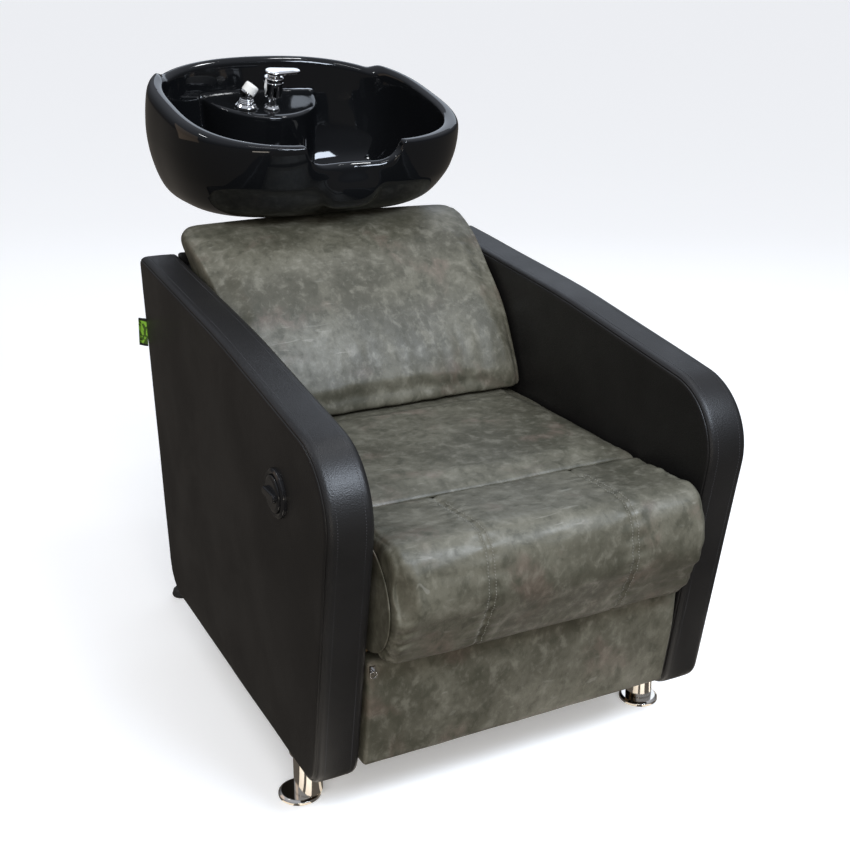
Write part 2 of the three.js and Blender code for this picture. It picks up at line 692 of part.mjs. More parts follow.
function addMixer() {
  const base = DECK.level + GAP;
  const ring = turned([[0, base], [15, base], [15, base + 3], [12, base + 6], [0, base + 6]]);
  addPiece('mixer_base', ring.translate(MIXER.x, MIXER.y, 0), chrome, basinFrame);

  const stemFoot = base + 6 + GAP;
  const stemTop = stemFoot + MIXER.stemHeight - 6;
  const body = turned([
    [0, stemFoot],
    [MIXER.stemRadius, stemFoot],
    [MIXER.stemRadius, stemTop],
    [MIXER.radius - 3, stemTop + 4],
    [MIXER.radius, stemTop + 8],
    [MIXER.radius, stemTop + MIXER.height],
    [0, stemTop + MIXER.height],
  ]);
  addPiece('mixer_body', body.translate(MIXER.x, MIXER.y, 0), chrome, basinFrame);

  const bodyTop = stemTop + MIXER.height;
  const cap = turned([
    [0, bodyTop + GAP],
    [12, bodyTop + GAP],
    [12, bodyTop + 3],
    [9, bodyTop + 6],
    [0, bodyTop + 6],
  ]);
  addPiece('mixer_cap', cap.translate(MIXER.x, MIXER.y, 0), chrome, basinFrame);

  const reach = 40; // from the middle of the cap to the middle of the lever's rounded tip
  const paddle = new THREE.Shape();
  paddle.absarc(0, 0, 17, Math.PI / 2, 1.5 * Math.PI);
  paddle.absarc(reach, 0, 11, -Math.PI / 2, Math.PI / 2);
  paddle.closePath();
  const lever = extrude(paddle, bodyTop + 6 + GAP, bodyTop + 12, 1.5, 8);
  addPiece('mixer_lever', lever.translate(MIXER.x, MIXER.y, 0), chrome, basinFrame);
}

function addShower() {
  const deckTop = DECK.level + GAP;
  const { x, y, ringRadius, stemRadius } = SHOWER;
  const bore = stemRadius + GAP;
  const cradle = turned([
    [bore, deckTop - 40],
    [stemRadius + 3, deckTop - 40],
    [stemRadius + 3, deckTop],
    [ringRadius, deckTop],
    [ringRadius, deckTop + 4],
    [ringRadius - 4, deckTop + 8],
    [bore, deckTop + 8],
    [bore, deckTop - 40],
  ]);
  addPiece('shower_cradle', cradle.translate(x, y, 0), chrome, basinFrame);

  const handle = turned([
    [0, deckTop - 38],
    [stemRadius, deckTop - 38],
    [stemRadius, deckTop + 8 + GAP],
    [stemRadius + 3, deckTop + 10],
    [stemRadius - 1, deckTop + 22],
    [0, deckTop + 22],
  ]);
  const head = turned([[0, -16], [12, -16], [14, -10], [14, 10], [12, 12], [0, 12]]);
  head.rotateY(degToRad(35)).translate(4, 0, deckTop + 32);
  addPiece('hand_shower', join(handle, head).translate(x, y, 0), chrome, basinFrame);
}

function addInlets() {
  for (const [name, x] of [['inlet_hot', -28], ['inlet_cold', 28]]) {
    const inlet = turned([[0, 0], [7, 0], [7, 16], [10, 16], [10, 26], [0, 26]], 16);
    addPiece(name, inlet.translate(x, 482, DRAIN.underside - GAP - 26), zincSteel);
  }
}

// ---- Release knob and side tag --------------------------------------------------------------

function addReleaseKnob() {
  const face = BODY_HALF_WIDTH + GAP;
  const place = (geometry) => geometry.rotateY(-Math.PI / 2).translate(0, KNOB.y, KNOB.z);
  const bezel = turned([
    [KNOB.radius + 0.6, face],
    [KNOB.bezelRadius, face],
    [KNOB.bezelRadius - 1, face + 4],
    [KNOB.bezelRadius - 4, face + KNOB.bezelHeight],
    [KNOB.radius + 0.6, face + KNOB.bezelHeight - 1],
    [KNOB.radius + 0.6, face],
  ], 28);
  addPiece('release_bezel', place(bezel), blackPlastic);

  const knob = turned([
    [0, BODY_HALF_WIDTH - 18],
    [5, BODY_HALF_WIDTH - 18],
    [5, face + 1],
    [KNOB.radius, face + 1],
    [KNOB.radius, face + 8],
    [KNOB.radius - 3, face + 10],
    [0, face + 10],
  ], 28);
  const gripShape = roundedShape([[-6, -23, 5.9], [6, -23, 5.9], [6, 23, 5.9], [-6, 23, 5.9]]);
  const grip = extrude(gripShape, face + 8, BODY_HALF_WIDTH + KNOB.proud, 1);
  addPiece('release_knob', place(join(knob, grip)), blackPlastic);
}

function addSideTag() {
  const tag = box([-0.9, 0.9], [0, 20], [-25.5, 25.5]);
  tag.rotateZ(Math.PI / 4);
  tag.rotateX(-Math.atan(ARM_REAR_LEAN));
  addPiece('side_tag', tag.translate(-BODY_HALF_WIDTH + 4, 293, 552), blackRubber);
}

// ---- Assembly -------------------------------------------------------------------------------

addArms();
addFrame();
addSeat();
addBack();
addLegRest();
addZip();
addLegs();
addStand();
addTiltHinge();
addBasinBracket();
addBasin();
addDrain();
addMixer();
addShower();
addInlets();
addReleaseKnob();
addSideTag();

// The origin is on the floor, under the middle of the box around the whole unit.
const middle = new THREE.Box3().setFromObject(model, true).getCenter(new THREE.Vector3());
model.position.set(-middle.x, -middle.y, 0);

const part = new THREE.Group();
part.add(model);

export default part;
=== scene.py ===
"""Looks of the shampoo backwash unit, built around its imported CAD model."""

import json
import math

import bmesh
import bpy
import numpy as np
from mathutils import Matrix, Vector, noise


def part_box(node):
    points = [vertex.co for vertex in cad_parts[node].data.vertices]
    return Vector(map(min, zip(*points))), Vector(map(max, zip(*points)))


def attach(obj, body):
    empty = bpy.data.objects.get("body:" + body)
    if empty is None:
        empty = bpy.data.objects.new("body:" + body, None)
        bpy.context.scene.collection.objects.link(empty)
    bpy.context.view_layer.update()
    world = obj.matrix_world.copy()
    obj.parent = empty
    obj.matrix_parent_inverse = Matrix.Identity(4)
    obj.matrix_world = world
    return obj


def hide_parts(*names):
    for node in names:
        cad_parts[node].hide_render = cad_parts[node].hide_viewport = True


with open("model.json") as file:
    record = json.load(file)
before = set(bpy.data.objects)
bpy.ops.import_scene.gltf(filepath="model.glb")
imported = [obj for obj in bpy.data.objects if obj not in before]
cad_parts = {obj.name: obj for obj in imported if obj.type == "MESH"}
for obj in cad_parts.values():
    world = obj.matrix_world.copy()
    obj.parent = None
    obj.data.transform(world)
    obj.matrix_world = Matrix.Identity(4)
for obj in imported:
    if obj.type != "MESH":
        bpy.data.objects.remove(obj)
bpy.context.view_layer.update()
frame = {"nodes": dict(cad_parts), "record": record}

MM = 0.001

# The design's own origin, read from the seat: its middle plane, and 90 mm in front of its rear edge.
seat_low, seat_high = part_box("seat_cushion")
ORIGIN = Vector(((seat_low.x + seat_high.x) / 2, seat_high.y - 0.090, 0))

ARM_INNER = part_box("arm_pad_right")[0].x - ORIGIN.x
ARM_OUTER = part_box("arm_pad_right")[1].x - ORIGIN.x
SEAT_HALF = (seat_high.x - seat_low.x) / 2
SEAT_TOP = seat_high.z
KNEE = Vector((0, -0.447, 0.368))  # pivot of the leg rest, under the knee roll
PIVOT = np.array([ORIGIN.y + KNEE.y, KNEE.z])


# ---- Small helpers ----------------------------------------------------------------------------

SIDES = (("left", -1), ("right", 1))


def around(count):
    """Angles evenly spaced over a full turn."""
    return np.linspace(0, 2 * math.pi, count, endpoint=False)


def quads(rows, count, first=0, ring=True, closed=False):
    """Faces between rows of count points: each row is a ring or a line, and the last may meet the first."""
    return [(first + k * count + j, first + k * count + (j + 1) % count,
             first + (k + 1) % rows * count + (j + 1) % count, first + (k + 1) % rows * count + j)
            for k in range(rows if closed else rows - 1) for j in range(count if ring else count - 1)]


def middle_of(node):
    low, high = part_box(node)
    return (low + high) / 2


def upright(node):
    """The upright axis through a node's middle, and the heights of its foot and top in millimetres."""
    low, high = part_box(node)
    return Matrix.Translation(((low.x + high.x) / 2, (low.y + high.y) / 2, 0)), low.z / MM, high.z / MM


def new_object(name, data):
    thing = bpy.data.objects.new(name, data)
    bpy.context.collection.objects.link(thing)
    return thing


def smoothstep(value, low, high):
    t = np.clip((np.asarray(value, float) - low) / (high - low), 0, 1)
    return t * t * (3 - 2 * t)


def valley(distance, width):
    return np.exp(-((distance / width) ** 2))


def field(points, scale, seed=0.0):
    """Smooth noise between -1 and 1 at each point."""
    shift = Vector((seed, 1.7 * seed, -0.6 * seed))
    return np.array([noise.noise(Vector(p) * scale + shift) for p in points])


# ---- Camera, lights and stage -----------------------------------------------------------------

COOL, WHITE, WARM, CREAM = (0.78, 0.87, 1.0), (0.96, 0.98, 1.0), (1.0, 0.74, 0.52), (1.0, 0.92, 0.8)
AREA_LIGHTS = [  # (name, place, target, size, power, colour)
    ("softbox_front", (0.50, -1.84, 2.10), (-0.29, -0.50, 0.55), (1.1, 0.62), 58, COOL),
    ("softbox_top", (0.0, -0.5, 3.0), (0, 0.2, 0.6), (0.9, 0.16), 5, WHITE),
    ("softbox_rear", (1.5, 2.3, 2.1), (0.2, 0, 0.7), (2.5, 1.2), 11, COOL),
    ("spot_left", (-1.5, 0.5, 2.6), (0, 0.3, 0.9), (0.34, 0.12), 5, WHITE),
    ("spot_right", (0.9, 0.2, 2.8), (0, 0.3, 0.9), (0.30, 0.12), 5, WHITE),
    ("card_rear", (-2.0, 1.1, 1.2), (0, 0.2, 0.7), (1.3, 1.1), 2.2, WARM),
    ("card_low", (-1.0, -2.2, 0.28), (0, -0.4, 0.05), (0.7, 0.3), 4, CREAM),
]
WORLD_TONES = [  # (position from straight down, 0, to straight up, 1; colour)
    (0.0, (0.135, 0.122, 0.108, 1)), (0.75, (0.50, 0.53, 0.60, 1)),
    (0.05, (0.060, 0.055, 0.055, 1)), (0.30, (0.16, 0.17, 0.19, 1)),
]
FLOOR_REACH, SKY_RADIUS = 80, 78  # metres, within the 100 m that the camera sees
CARD_RADIUS, CARD_HEIGHT, CARD_POINTS = 0.3, 0.001, 64
CARD_WEDGES = (*range(2, 12), *range(34, 41), *range(44, 50), *range(58, 61))


def looking(place, target):
    """The place and turn of something that looks from one point at another."""
    place, target = Vector(place), Vector(target)
    return Matrix.Translation(place) @ (target - place).to_track_quat("-Z", "Y").to_matrix().to_4x4()


def add_camera():
    data = bpy.data.cameras.new("camera")
    data.sensor_width = 36
    data.lens = 53.35
    camera = new_object("camera", data)
    roll = Matrix.Rotation(math.radians(0.25), 4, "Z")
    camera.matrix_world = looking((-0.8541, -1.8341, 1.1578), (0.0081, -0.1409, 0.4655)) @ roll
    bpy.context.scene.camera = camera


def add_world():
    """Soft studio surroundings: a cool bright upper half over a dim warm lower one."""
    world = bpy.data.worlds.new("world")
    world.use_nodes = True
    tree = world.node_tree
    place = tree.nodes.new("ShaderNodeTexCoord")
    split = tree.nodes.new("ShaderNodeSeparateXYZ")
    ramp = tree.nodes.new("ShaderNodeValToRGB")
    tree.links.new(place.outputs["Generated"], split.inputs[0])
    tree.links.new(split.outputs["Z"], ramp.inputs["Fac"])
    tree.links.new(ramp.outputs["Color"], tree.nodes["Background"].inputs["Color"])
    tones = ramp.color_ramp.elements
    for tone, (position, color) in zip(tones, WORLD_TONES):
        tone.position, tone.color = position, color
    for position, color in WORLD_TONES[2:]:
        tones.new(position).color = color
    tree.nodes["Background"].inputs["Strength"].default_value = 0.9
    bpy.context.scene.world = world


def add_lights():
    sun = bpy.data.lights.new("sky_sun", "SUN")
    sun.energy = 2.5
    sun.angle = math.radians(55)
    sun.color = (1.0, 0.985, 0.965)
    sky = new_object("sky_sun", sun)
    sky.rotation_euler = (math.radians(62), 0, math.radians(-28))
    sky.visible_glossy = False
    for name, place, target, size, power, color in AREA_LIGHTS:
        data = bpy.data.lights.new(name, "AREA")
        data.shape = "RECTANGLE"
        data.size, data.size_y = size
        data.energy = power
        data.color = color
        new_object(name, data).matrix_world = looking(place, target)
    add_world()
    bpy.context.scene.view_settings.view_transform = "Standard"


def stage_piece(name, vertices, faces, paint, glow, seen_by):
    """A part of the studio: its paint, a glow that lights nothing else, and the rays that see it."""
    mesh = bpy.data.meshes.new(name)
    mesh.from_pydata(vertices, [], faces)
    piece = new_object(name, mesh)
    material = bpy.data.materials.new(name)
    material.use_nodes = True
    shader = material.node_tree.nodes["Principled BSDF"]
    shader.inputs["Base Color"].default_value = (*paint, 1)
    shader.inputs["Roughness"].default_value = 0.8
    shader.inputs["Emission Color"].default_value = (*glow, 1)
    shader.inputs["Emission Strength"].default_value = 1.0
    material.cycles.emission_sampling = "NONE"
    mesh.materials.append(material)
    for ray in ("camera", "glossy", "diffuse", "transmission", "volume_scatter", "shadow"):
        setattr(piece, f"visible_{ray}", ray == seen_by)


def add_studio():
    """A pale floor under a pale sky, which only the camera sees, and cards at the legs, which only
    glossy surfaces see."""
    low, high = -FLOOR_REACH, FLOOR_REACH
    floor = [(low, low, 0), (high, low, 0), (high, high, 0), (low, high, 0)]
    stage_piece("floor", floor, [(0, 1, 2, 3)], (0.95, 0.95, 0.945), (0.19, 0.19, 0.189), "camera")
    circle = [(math.cos(a), math.sin(a)) for a in around(CARD_POINTS)]
    levels = [(SKY_RADIUS * math.cos(b), SKY_RADIUS * math.sin(b)) for b in np.linspace(-0.02, 1.55, 12)]
    sky = [(r * x, r * y, z) for r, z in levels for x, y in circle]
    stage_piece("backdrop", sky, quads(len(levels), CARD_POINTS), (0, 0, 0), (0.86, 0.87, 0.89), "camera")
    for side, _ in SIDES:
        centre = middle_of(f"leg_disc_{side}")
        fan = [(centre.x + CARD_RADIUS * x, centre.y + CARD_RADIUS * y, CARD_HEIGHT)
               for x, y in [(0, 0), *circle]]
        wedges = [(0, k + 1, (k + 1) % CARD_POINTS + 1) for k in CARD_WEDGES]
        stage_piece(f"leg_card_{side}", fan, wedges, (0.80, 0.72, 0.61), (0.576, 0.518, 0.439), "glossy")


# ---- Materials --------------------------------------------------------------------------------

class Surface:
    """A material under construction: short calls that add nodes and return sockets."""

    def __init__(self, name):
        self.material = bpy.data.materials.new(name)
        self.material.use_nodes = True
        self.tree = self.material.node_tree
        self.place = self.node("TexCoord").outputs["Object"]

    def put(self, value, socket):
        if isinstance(value, bpy.types.NodeSocket):
            self.tree.links.new(value, socket)
        else:
            socket.default_value = value

    def fill(self, node, inputs):
        """Sets or links a node's inputs, which are named with _ for each space."""
        for name, value in inputs.items():
            self.put(value, node.inputs[name.replace("_", " ")])
        return node

    def node(self, kind, **inputs):
        return self.fill(self.tree.nodes.new("ShaderNode" + kind), inputs)

    def finish(self, **inputs):
        """Sets the shader's inputs and returns the material."""
        self.fill(self.tree.nodes["Principled BSDF"], inputs)
        return self.material

    def noise(self, scale, detail=4.0, roughness=0.55, distortion=0.0, place=None):
        return self.node("TexNoise", Vector=place or self.place, Scale=scale, Detail=detail,
                         Roughness=roughness, Distortion=distortion).outputs["Fac"]

    def drawn_noise(self, stretch, *detail, turn=(0, 0, 0)):
        """Noise with its own scale along each axis, turned."""
        place = self.node("Mapping", Vector=self.place, Scale=stretch, Rotation=turn).outputs["Vector"]
        return self.noise(1.0, *detail, place=place)

    def cells(self, scale):
        return self.node("TexVoronoi", Vector=self.place, Scale=scale).outputs["Distance"]

    def math(self, operation, a, b=0.0):
        node = self.node("Math")
        node.operation = operation
        for value, socket in zip((a, b), node.inputs):
            self.put(value, socket)
        return node.outputs[0]

    def remap(self, value, low, high, to_low=0.0, to_high=1.0):
        node = self.node("MapRange", Value=value, From_Min=low, From_Max=high,
                         To_Min=to_low, To_Max=to_high)
        node.interpolation_type = "SMOOTHSTEP"
        return node.outputs["Result"]

    def mix(self, share, a, b):
        node = self.node("Mix")
        node.data_type = "RGBA"
        for value, index in ((share, 0), (a, 6), (b, 7)):
            self.put((*value, 1) if isinstance(value, tuple) else value, node.inputs[index])
        return node.outputs[2]

    def shade(self, pattern, color, dark):
        """A colour that a pattern darkens."""
        return self.mix(pattern, tuple(dark * c for c in color), color)

    def layer(self, tone, pattern, low, high, share, color):
        """A colour laid over a tone, up to a share, where a pattern goes from low to high."""
        return self.mix(self.math("MULTIPLY", self.remap(pattern, low, high), share), tone, color)

    def bump(self, height, strength, distance, **under):
        node = self.node("Bump", Height=height, Strength=strength, Distance=distance, **under)
        return node.outputs["Normal"]


def grey_leatherette():
    """Distressed olive-grey leatherette: smudged tones, worn streaks, faint reddish patches."""
    s = Surface("grey_leatherette")
    patches = s.noise(8.0, 4, 0.55, 0.5)
    smudges = s.drawn_noise((42, 42, 34), 5, 0.62, 0.35, turn=(0.3, 0.2, 0.5))
    wisps = s.drawn_noise((84, 120, 60), 4, 0.64, 0.4, turn=(0.5, 0.1, 0.9))
    scratch = s.drawn_noise((26, 190, 40), 2, 0.4, 0.5, turn=(0.4, 0.7, 0.6))
    tone = s.mix(s.remap(patches, 0.34, 0.66), (0.0531, 0.0500, 0.0358), (0.0956, 0.0903, 0.0681))
    tone = s.layer(tone, smudges, 0.50, 0.70, 0.56, (0.1558, 0.1478, 0.1177))
    tone = s.layer(tone, smudges, 0.50, 0.32, 0.66, (0.0363, 0.0354, 0.0239))
    tone = s.layer(tone, wisps, 0.52, 0.72, 0.28, (0.1858, 0.1770, 0.1434))
    tone = s.layer(tone, wisps, 0.46, 0.30, 0.34, (0.0407, 0.0398, 0.0274))
    warm = s.remap(s.noise(11.0, 3, 0.5, 0.4), 0.54, 0.70, 0, 0.36)
    tone = s.layer(tone, smudges, 0.35, 0.6, warm, (0.1195, 0.0779, 0.0637))
    streaks = s.math("MULTIPLY", s.remap(scratch, 0.66, 0.74), s.remap(patches, 0.45, 0.6))
    tone = s.mix(s.math("MULTIPLY", streaks, 0.24), tone, (0.2921, 0.2832, 0.2478))
    grain = s.math("ADD", s.cells(620.0), s.math("MULTIPLY", s.noise(1300.0, 2), 0.4))
    creases = s.bump(s.noise(60.0, 4, 0.6, 0.6), 0.16, 0.0022)
    return s.finish(Base_Color=tone, Roughness=s.remap(smudges, 0.3, 0.7, 0.52, 0.41),
                    Normal=s.bump(grain, 0.20, 0.0006, Normal=creases), Specular_IOR_Level=0.36)


def black_leatherette():
    """Black leatherette with a fine pebbled grain."""
    s = Surface("black_leatherette")
    cloud = s.noise(6.0, 4, 0.55, 0.3)
    tone = s.mix(s.remap(cloud, 0.35, 0.7), (0.0072, 0.0068, 0.0067), (0.0112, 0.0107, 0.0105))
    grain = s.math("ADD", s.cells(540.0), s.math("MULTIPLY", s.noise(1100.0, 2), 0.5))
    soft = s.bump(s.noise(22.0, 3), 0.08, 0.004, Normal=s.bump(grain, 0.28, 0.0007))
    return s.finish(Base_Color=tone, Roughness=s.remap(cloud, 0.3, 0.7, 0.46, 0.38), Normal=soft,
                    Specular_IOR_Level=0.38)


def thread(name, color):
    s = Surface(name)
    return s.finish(Base_Color=s.shade(s.drawn_noise((900, 900, 900), 2), color, 0.75), Roughness=0.6)


def black_ceramic():
    """Deep black glaze over fired clay, with the faintest waviness."""
    s = Surface("black_ceramic")
    return s.finish(Base_Color=s.mix(s.noise(5.0, 3), (0.0028, 0.0031, 0.0036), (0.0048, 0.0052, 0.0060)),
                    Roughness=s.remap(s.noise(40.0, 3), 0.3, 0.7, 0.035, 0.06),
                    Normal=s.bump(s.noise(11.0, 2, 0.4), 0.05, 0.004), Specular_IOR_Level=0.42)


def metal(name, color, roughness, brushed=0.0):
    """Bare or plated metal; brushed gives the depth of fine lines along X."""
    s = Surface(name)
    cloud = s.noise(30.0, 4)
    if brushed:
        s.finish(Normal=s.bump(s.drawn_noise((60, 1800, 1800), 3), brushed, 0.0004))
    return s.finish(Base_Color=s.shade(cloud, color, 0.9), Metallic=1.0,
                    Roughness=s.remap(cloud, 0.3, 0.7, roughness * 0.8, roughness * 1.25))


def coated_steel():
    """Black powder coat with its orange-peel texture."""
    s = Surface("black_steel")
    return s.finish(Base_Color=s.mix(s.noise(20.0, 3), (0.012, 0.012, 0.013), (0.022, 0.022, 0.023)),
                    Roughness=0.42, Normal=s.bump(s.noise(420.0, 2), 0.28, 0.0006))


def plastic(name, color, roughness, texture):
    s = Surface(name)
    cloud = s.noise(25.0, 3)
    return s.finish(Base_Color=s.shade(cloud, color, 0.8),
                    Roughness=s.remap(cloud, 0.3, 0.7, roughness * 0.85, roughness * 1.2),
                    Normal=s.bump(s.noise(700.0, 2), texture, 0.0004))


def plywood():
    """Birch plywood: long grain, with the layers showing on the edges."""
    s = Surface("plywood")
    grain = s.drawn_noise((9, 60, 260), 6, 0.6, 0.4)
    fine = s.drawn_noise((40, 700, 700), 3)
    tone = s.mix(s.remap(grain, 0.3, 0.7), (0.36, 0.235, 0.12), (0.60, 0.45, 0.27))
    tone = s.layer(tone, fine, 0.5, 0.75, 0.5, (0.27, 0.16, 0.08))
    return s.finish(Base_Color=tone, Roughness=0.68, Normal=s.bump(fine, 0.2, 0.0008))


def ribbon():
    """Woven green ribbon with dark blotches and black edges."""
    s = Surface("ribbon")
    height = s.node("SeparateXYZ", Vector=s.place).outputs["Z"]
    away = s.math("ABSOLUTE", s.math("SUBTRACT", height, middle_of("side_tag").z))
    weave = s.drawn_noise((900, 900, 2400), 2)
    green = s.layer((0.26, 0.55, 0.05), s.noise(150.0, 1), 0.45, 0.55, 0.85, (0.02, 0.035, 0.01))
    tone = s.mix(s.remap(away, 0.0205, 0.0215), green, (0.012, 0.012, 0.012))
    return s.finish(Base_Color=s.mix(s.math("MULTIPLY", weave, 0.4), tone, (0.01, 0.02, 0.005)),
                    Roughness=0.7, Normal=s.bump(weave, 0.4, 0.0004))


def lining():
    """Black non-woven cloth that covers the frame where no leatherette does."""
    s = Surface("lining")
    dimples = s.cells(420.0)
    return s.finish(Base_Color=s.mix(dimples, (0.006, 0.006, 0.006), (0.018, 0.018, 0.019)),
                    Roughness=0.9, Normal=s.bump(dimples, 0.4, 0.0006))


MATERIALS = {
    "black_leatherette": black_leatherette(),
    "grey_leatherette": grey_leatherette(),
    "black_thread": thread("black_thread", (0.035, 0.034, 0.036)),
    "grey_thread": thread("grey_thread", (0.20, 0.193, 0.165)),
    "black_ceramic": black_ceramic(),
    "chrome": metal("chrome", (0.86, 0.85, 0.84), 0.07),
    "nickel": metal("nickel", (0.80, 0.76, 0.70), 0.10),
    "zinc_steel": metal("zinc_steel", (0.55, 0.56, 0.58), 0.32, brushed=0.15),
    "black_steel": coated_steel(),
    "black_plastic": plastic("black_plastic", (0.010, 0.010, 0.011), 0.16, 0.05),
    "black_rubber": plastic("black_rubber", (0.016, 0.016, 0.016), 0.70, 0.30),
    "white_plastic": plastic("white_plastic", (0.72, 0.71, 0.68), 0.25, 0.05),
    "plywood": plywood(),
    "lining": lining(),
    "ribbon": ribbon(),
}


# ---- Mesh helpers -----------------------------------------------------------------------------

def add_object(name, vertices, faces, material):
    mesh = bpy.data.meshes.new(name)
    mesh.from_pydata([tuple(v) for v in vertices], [], faces)
    mesh.validate()
    shell = bmesh.new()
    shell.from_mesh(mesh)
    bmesh.ops.remove_doubles(shell, verts=shell.verts, dist=1e-6)
    bmesh.ops.recalc_face_normals(shell, faces=shell.faces)
    shell.to_mesh(mesh)
    shell.free()
    mesh.materials.append(MATERIALS[material])
    mesh.polygons.foreach_set("use_smooth", [True] * len(mesh.polygons))
    return new_object(name, mesh)


def finish_piece(piece, body, slot, *nodes, fill=None):
    """Says what a piece rides on and hides the nodes it stands for; slot is not used, and fill is not used.
    """
    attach(piece, body)
    if nodes:
        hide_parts(*nodes)
    return piece


def coordinates(piece, kind="co"):
    values = np.empty(len(piece.data.vertices) * 3)
    piece.data.vertices.foreach_get(kind, values)
    return values.reshape(-1, 3)


def vertex_normals(piece):
    return coordinates(piece, "normal")


def set_coordinates(piece, co):
    piece.data.vertices.foreach_set("co", np.ascontiguousarray(co).ravel())
    piece.data.update()


def select(pieces):
    for other in bpy.context.selected_objects:
        other.select_set(False)
    for piece in pieces:
        piece.select_set(True)
    bpy.context.view_layer.objects.active = pieces[0]


def modify(piece, kind, **settings):
    """Adds a modifier to a piece and applies it."""
    modifier = piece.modifiers.new(kind.lower(), kind)
    for name, value in settings.items():
        setattr(modifier, name, value)
    select([piece])
    bpy.ops.object.modifier_apply(modifier=modifier.name)


def voxel_remesh(piece, size):
    modify(piece, "REMESH", mode="VOXEL", voxel_size=size, use_smooth_shade=True)


def relax(piece, rounds):
    modify(piece, "SMOOTH", iterations=rounds)


def subdivide(piece):
    modify(piece, "SUBSURF", levels=1)


def boolean(piece, other, operation):
    modify(piece, "BOOLEAN", operation=operation, solver="EXACT", object=other)
    bpy.data.objects.remove(other)
    return piece


def merge(pieces, name):
    select(pieces)
    bpy.ops.object.join()
    pieces[0].name = name
    return pieces[0]


def dense_outline(corners, closed=True):
    """Points, in metres, through (a, b, radius) corners given in millimetres."""
    points = []
    count = len(corners)
    for index, corner in enumerate(corners):
        here = np.array(corner[:2], float)
        radius = corner[2] if len(corner) > 2 else 0
        if radius == 0 or (not closed and index in (0, count - 1)):
            points.append(here)
            continue
        before = np.array(corners[index - 1][:2], float) - here
        after = np.array(corners[(index + 1) % count][:2], float) - here
        before /= np.linalg.norm(before)
        after /= np.linalg.norm(after)
        half = math.acos(np.clip(before @ after, -1, 1)) / 2
        middle = before + after
        if np.linalg.norm(middle) < 1e-6:  # the line runs straight on
            points.append(here)
            continue
        centre = here + middle / np.linalg.norm(middle) * radius / math.sin(half)
        start = here + before * radius / math.tan(half) - centre
        sweep = math.pi - 2 * half
        sign = math.copysign(1, after[0] * before[1] - after[1] * before[0])
        steps = max(3, int(sweep / math.radians(5)))
        for angle in np.linspace(0, sweep, steps + 1) * sign:
            turn = np.array([[math.cos(angle), -math.sin(angle)], [math.sin(angle), math.cos(angle)]])
            points.append(centre + turn @ start)
    return np.array(points) * MM


def resample(points, step, closed=True):
    """The same line with points a step apart."""
    line = np.vstack([points, points[:1]]) if closed else np.asarray(points)
    length = np.concatenate([[0], np.cumsum(np.linalg.norm(np.diff(line, axis=0), axis=1))])
    count = max(8, int(round(length[-1] / step)))
    at = np.linspace(0, length[-1], count + (0 if closed else 1), endpoint=not closed)
    return np.stack([np.interp(at, length, line[:, k]) for k in range(line.shape[1])], 1)


def bezier(*points, steps=24):
    """Points along a quadratic or cubic curve, in the units of its control points."""
    control = np.array(points, float)
    t = np.linspace(0, 1, steps + 1)[:, None]
    degree = len(control) - 1
    return sum(math.comb(degree, k) * (1 - t) ** (degree - k) * t**k * control[k]
               for k in range(degree + 1))


def outline_normals(outline):
    """Outward unit normals of a closed outline."""
    along = np.roll(outline, -1, 0) - np.roll(outline, 1, 0)
    normal = np.stack([along[:, 1], -along[:, 0]], 1)
    area = np.sum(outline[:, 0] * np.roll(outline[:, 1], -1) - np.roll(outline[:, 0], -1) * outline[:, 1])
    normal *= math.copysign(1, area)
    return normal / np.linalg.norm(normal, axis=1)[:, None]


def closed_rings(rings, count):
    """Quads between rings of count points each, with both ends closed by a fan round a last point."""
    faces = quads(rings, count)
    first, last, top = rings * count, rings * count + 1, (rings - 1) * count
    for k in range(count):
        after = (k + 1) % count
        faces += [(first, after, k), (last, top + k, top + after)]
    return faces


FACE_SHARES = (0.92, 0.8, 0.66, 0.52, 0.4, 0.3, 0.21, 0.14, 0.09, 0.055, 0.03, 0.012)


def slab(name, outline, x_low, x_high, edge, material, step=0.008, lift=None, crown=0.0, seam=None):
    """A padded panel: an outline in (y, z) carried along X, with rounded edges and crowned sides.

    lift(x, points) gives how far each point of the band stands out from the outline.
    seam = (angle, depth) sinks a line into both rounded edges.
    """
    normals = outline_normals(outline)
    centre = outline.mean(0)
    # (distance from the side face, inset from the outline, share of the way to the centre)
    profile = [(0.0, edge, share) for share in FACE_SHARES]
    angles = set(np.linspace(0, 90, 9))
    if seam:
        angles |= {seam[0] + offset for offset in (-7, -3, 0, 3, 7)}
    for angle in sorted(angles):
        a = math.radians(angle)
        dip = seam[1] * max(0, 1 - abs(angle - seam[0]) / 6) if seam else 0
        reach = edge - dip
        profile.append((edge - reach * math.cos(a), edge - reach * math.sin(a), 0.0))
    width = x_high - x_low
    low_side = profile + [(d, 0.0, 0.0) for d in np.arange(edge + step, width / 2, step)]
    stations = [(x_low + d, -1, inset, share) for d, inset, share in low_side]
    stations += [(x_high - d, 1, inset, share) for d, inset, share in reversed(low_side)]
    vertices = []
    for x, side, inset, share in stations:
        base = outline - normals * inset
        if lift is not None:
            base = base + normals * (lift(x, outline) * (1 - min(1, inset / edge)))[:, None]
        base = centre + (base - centre) * (1 - share)
        bulge = side * crown * math.sin(share * math.pi / 2)
        vertices += [(x + bulge, y, z) for y, z in base]
    vertices += [(x_low - crown, *centre), (x_high + crown, *centre)]
    return add_object(name, vertices, closed_rings(len(stations), len(outline)), material)


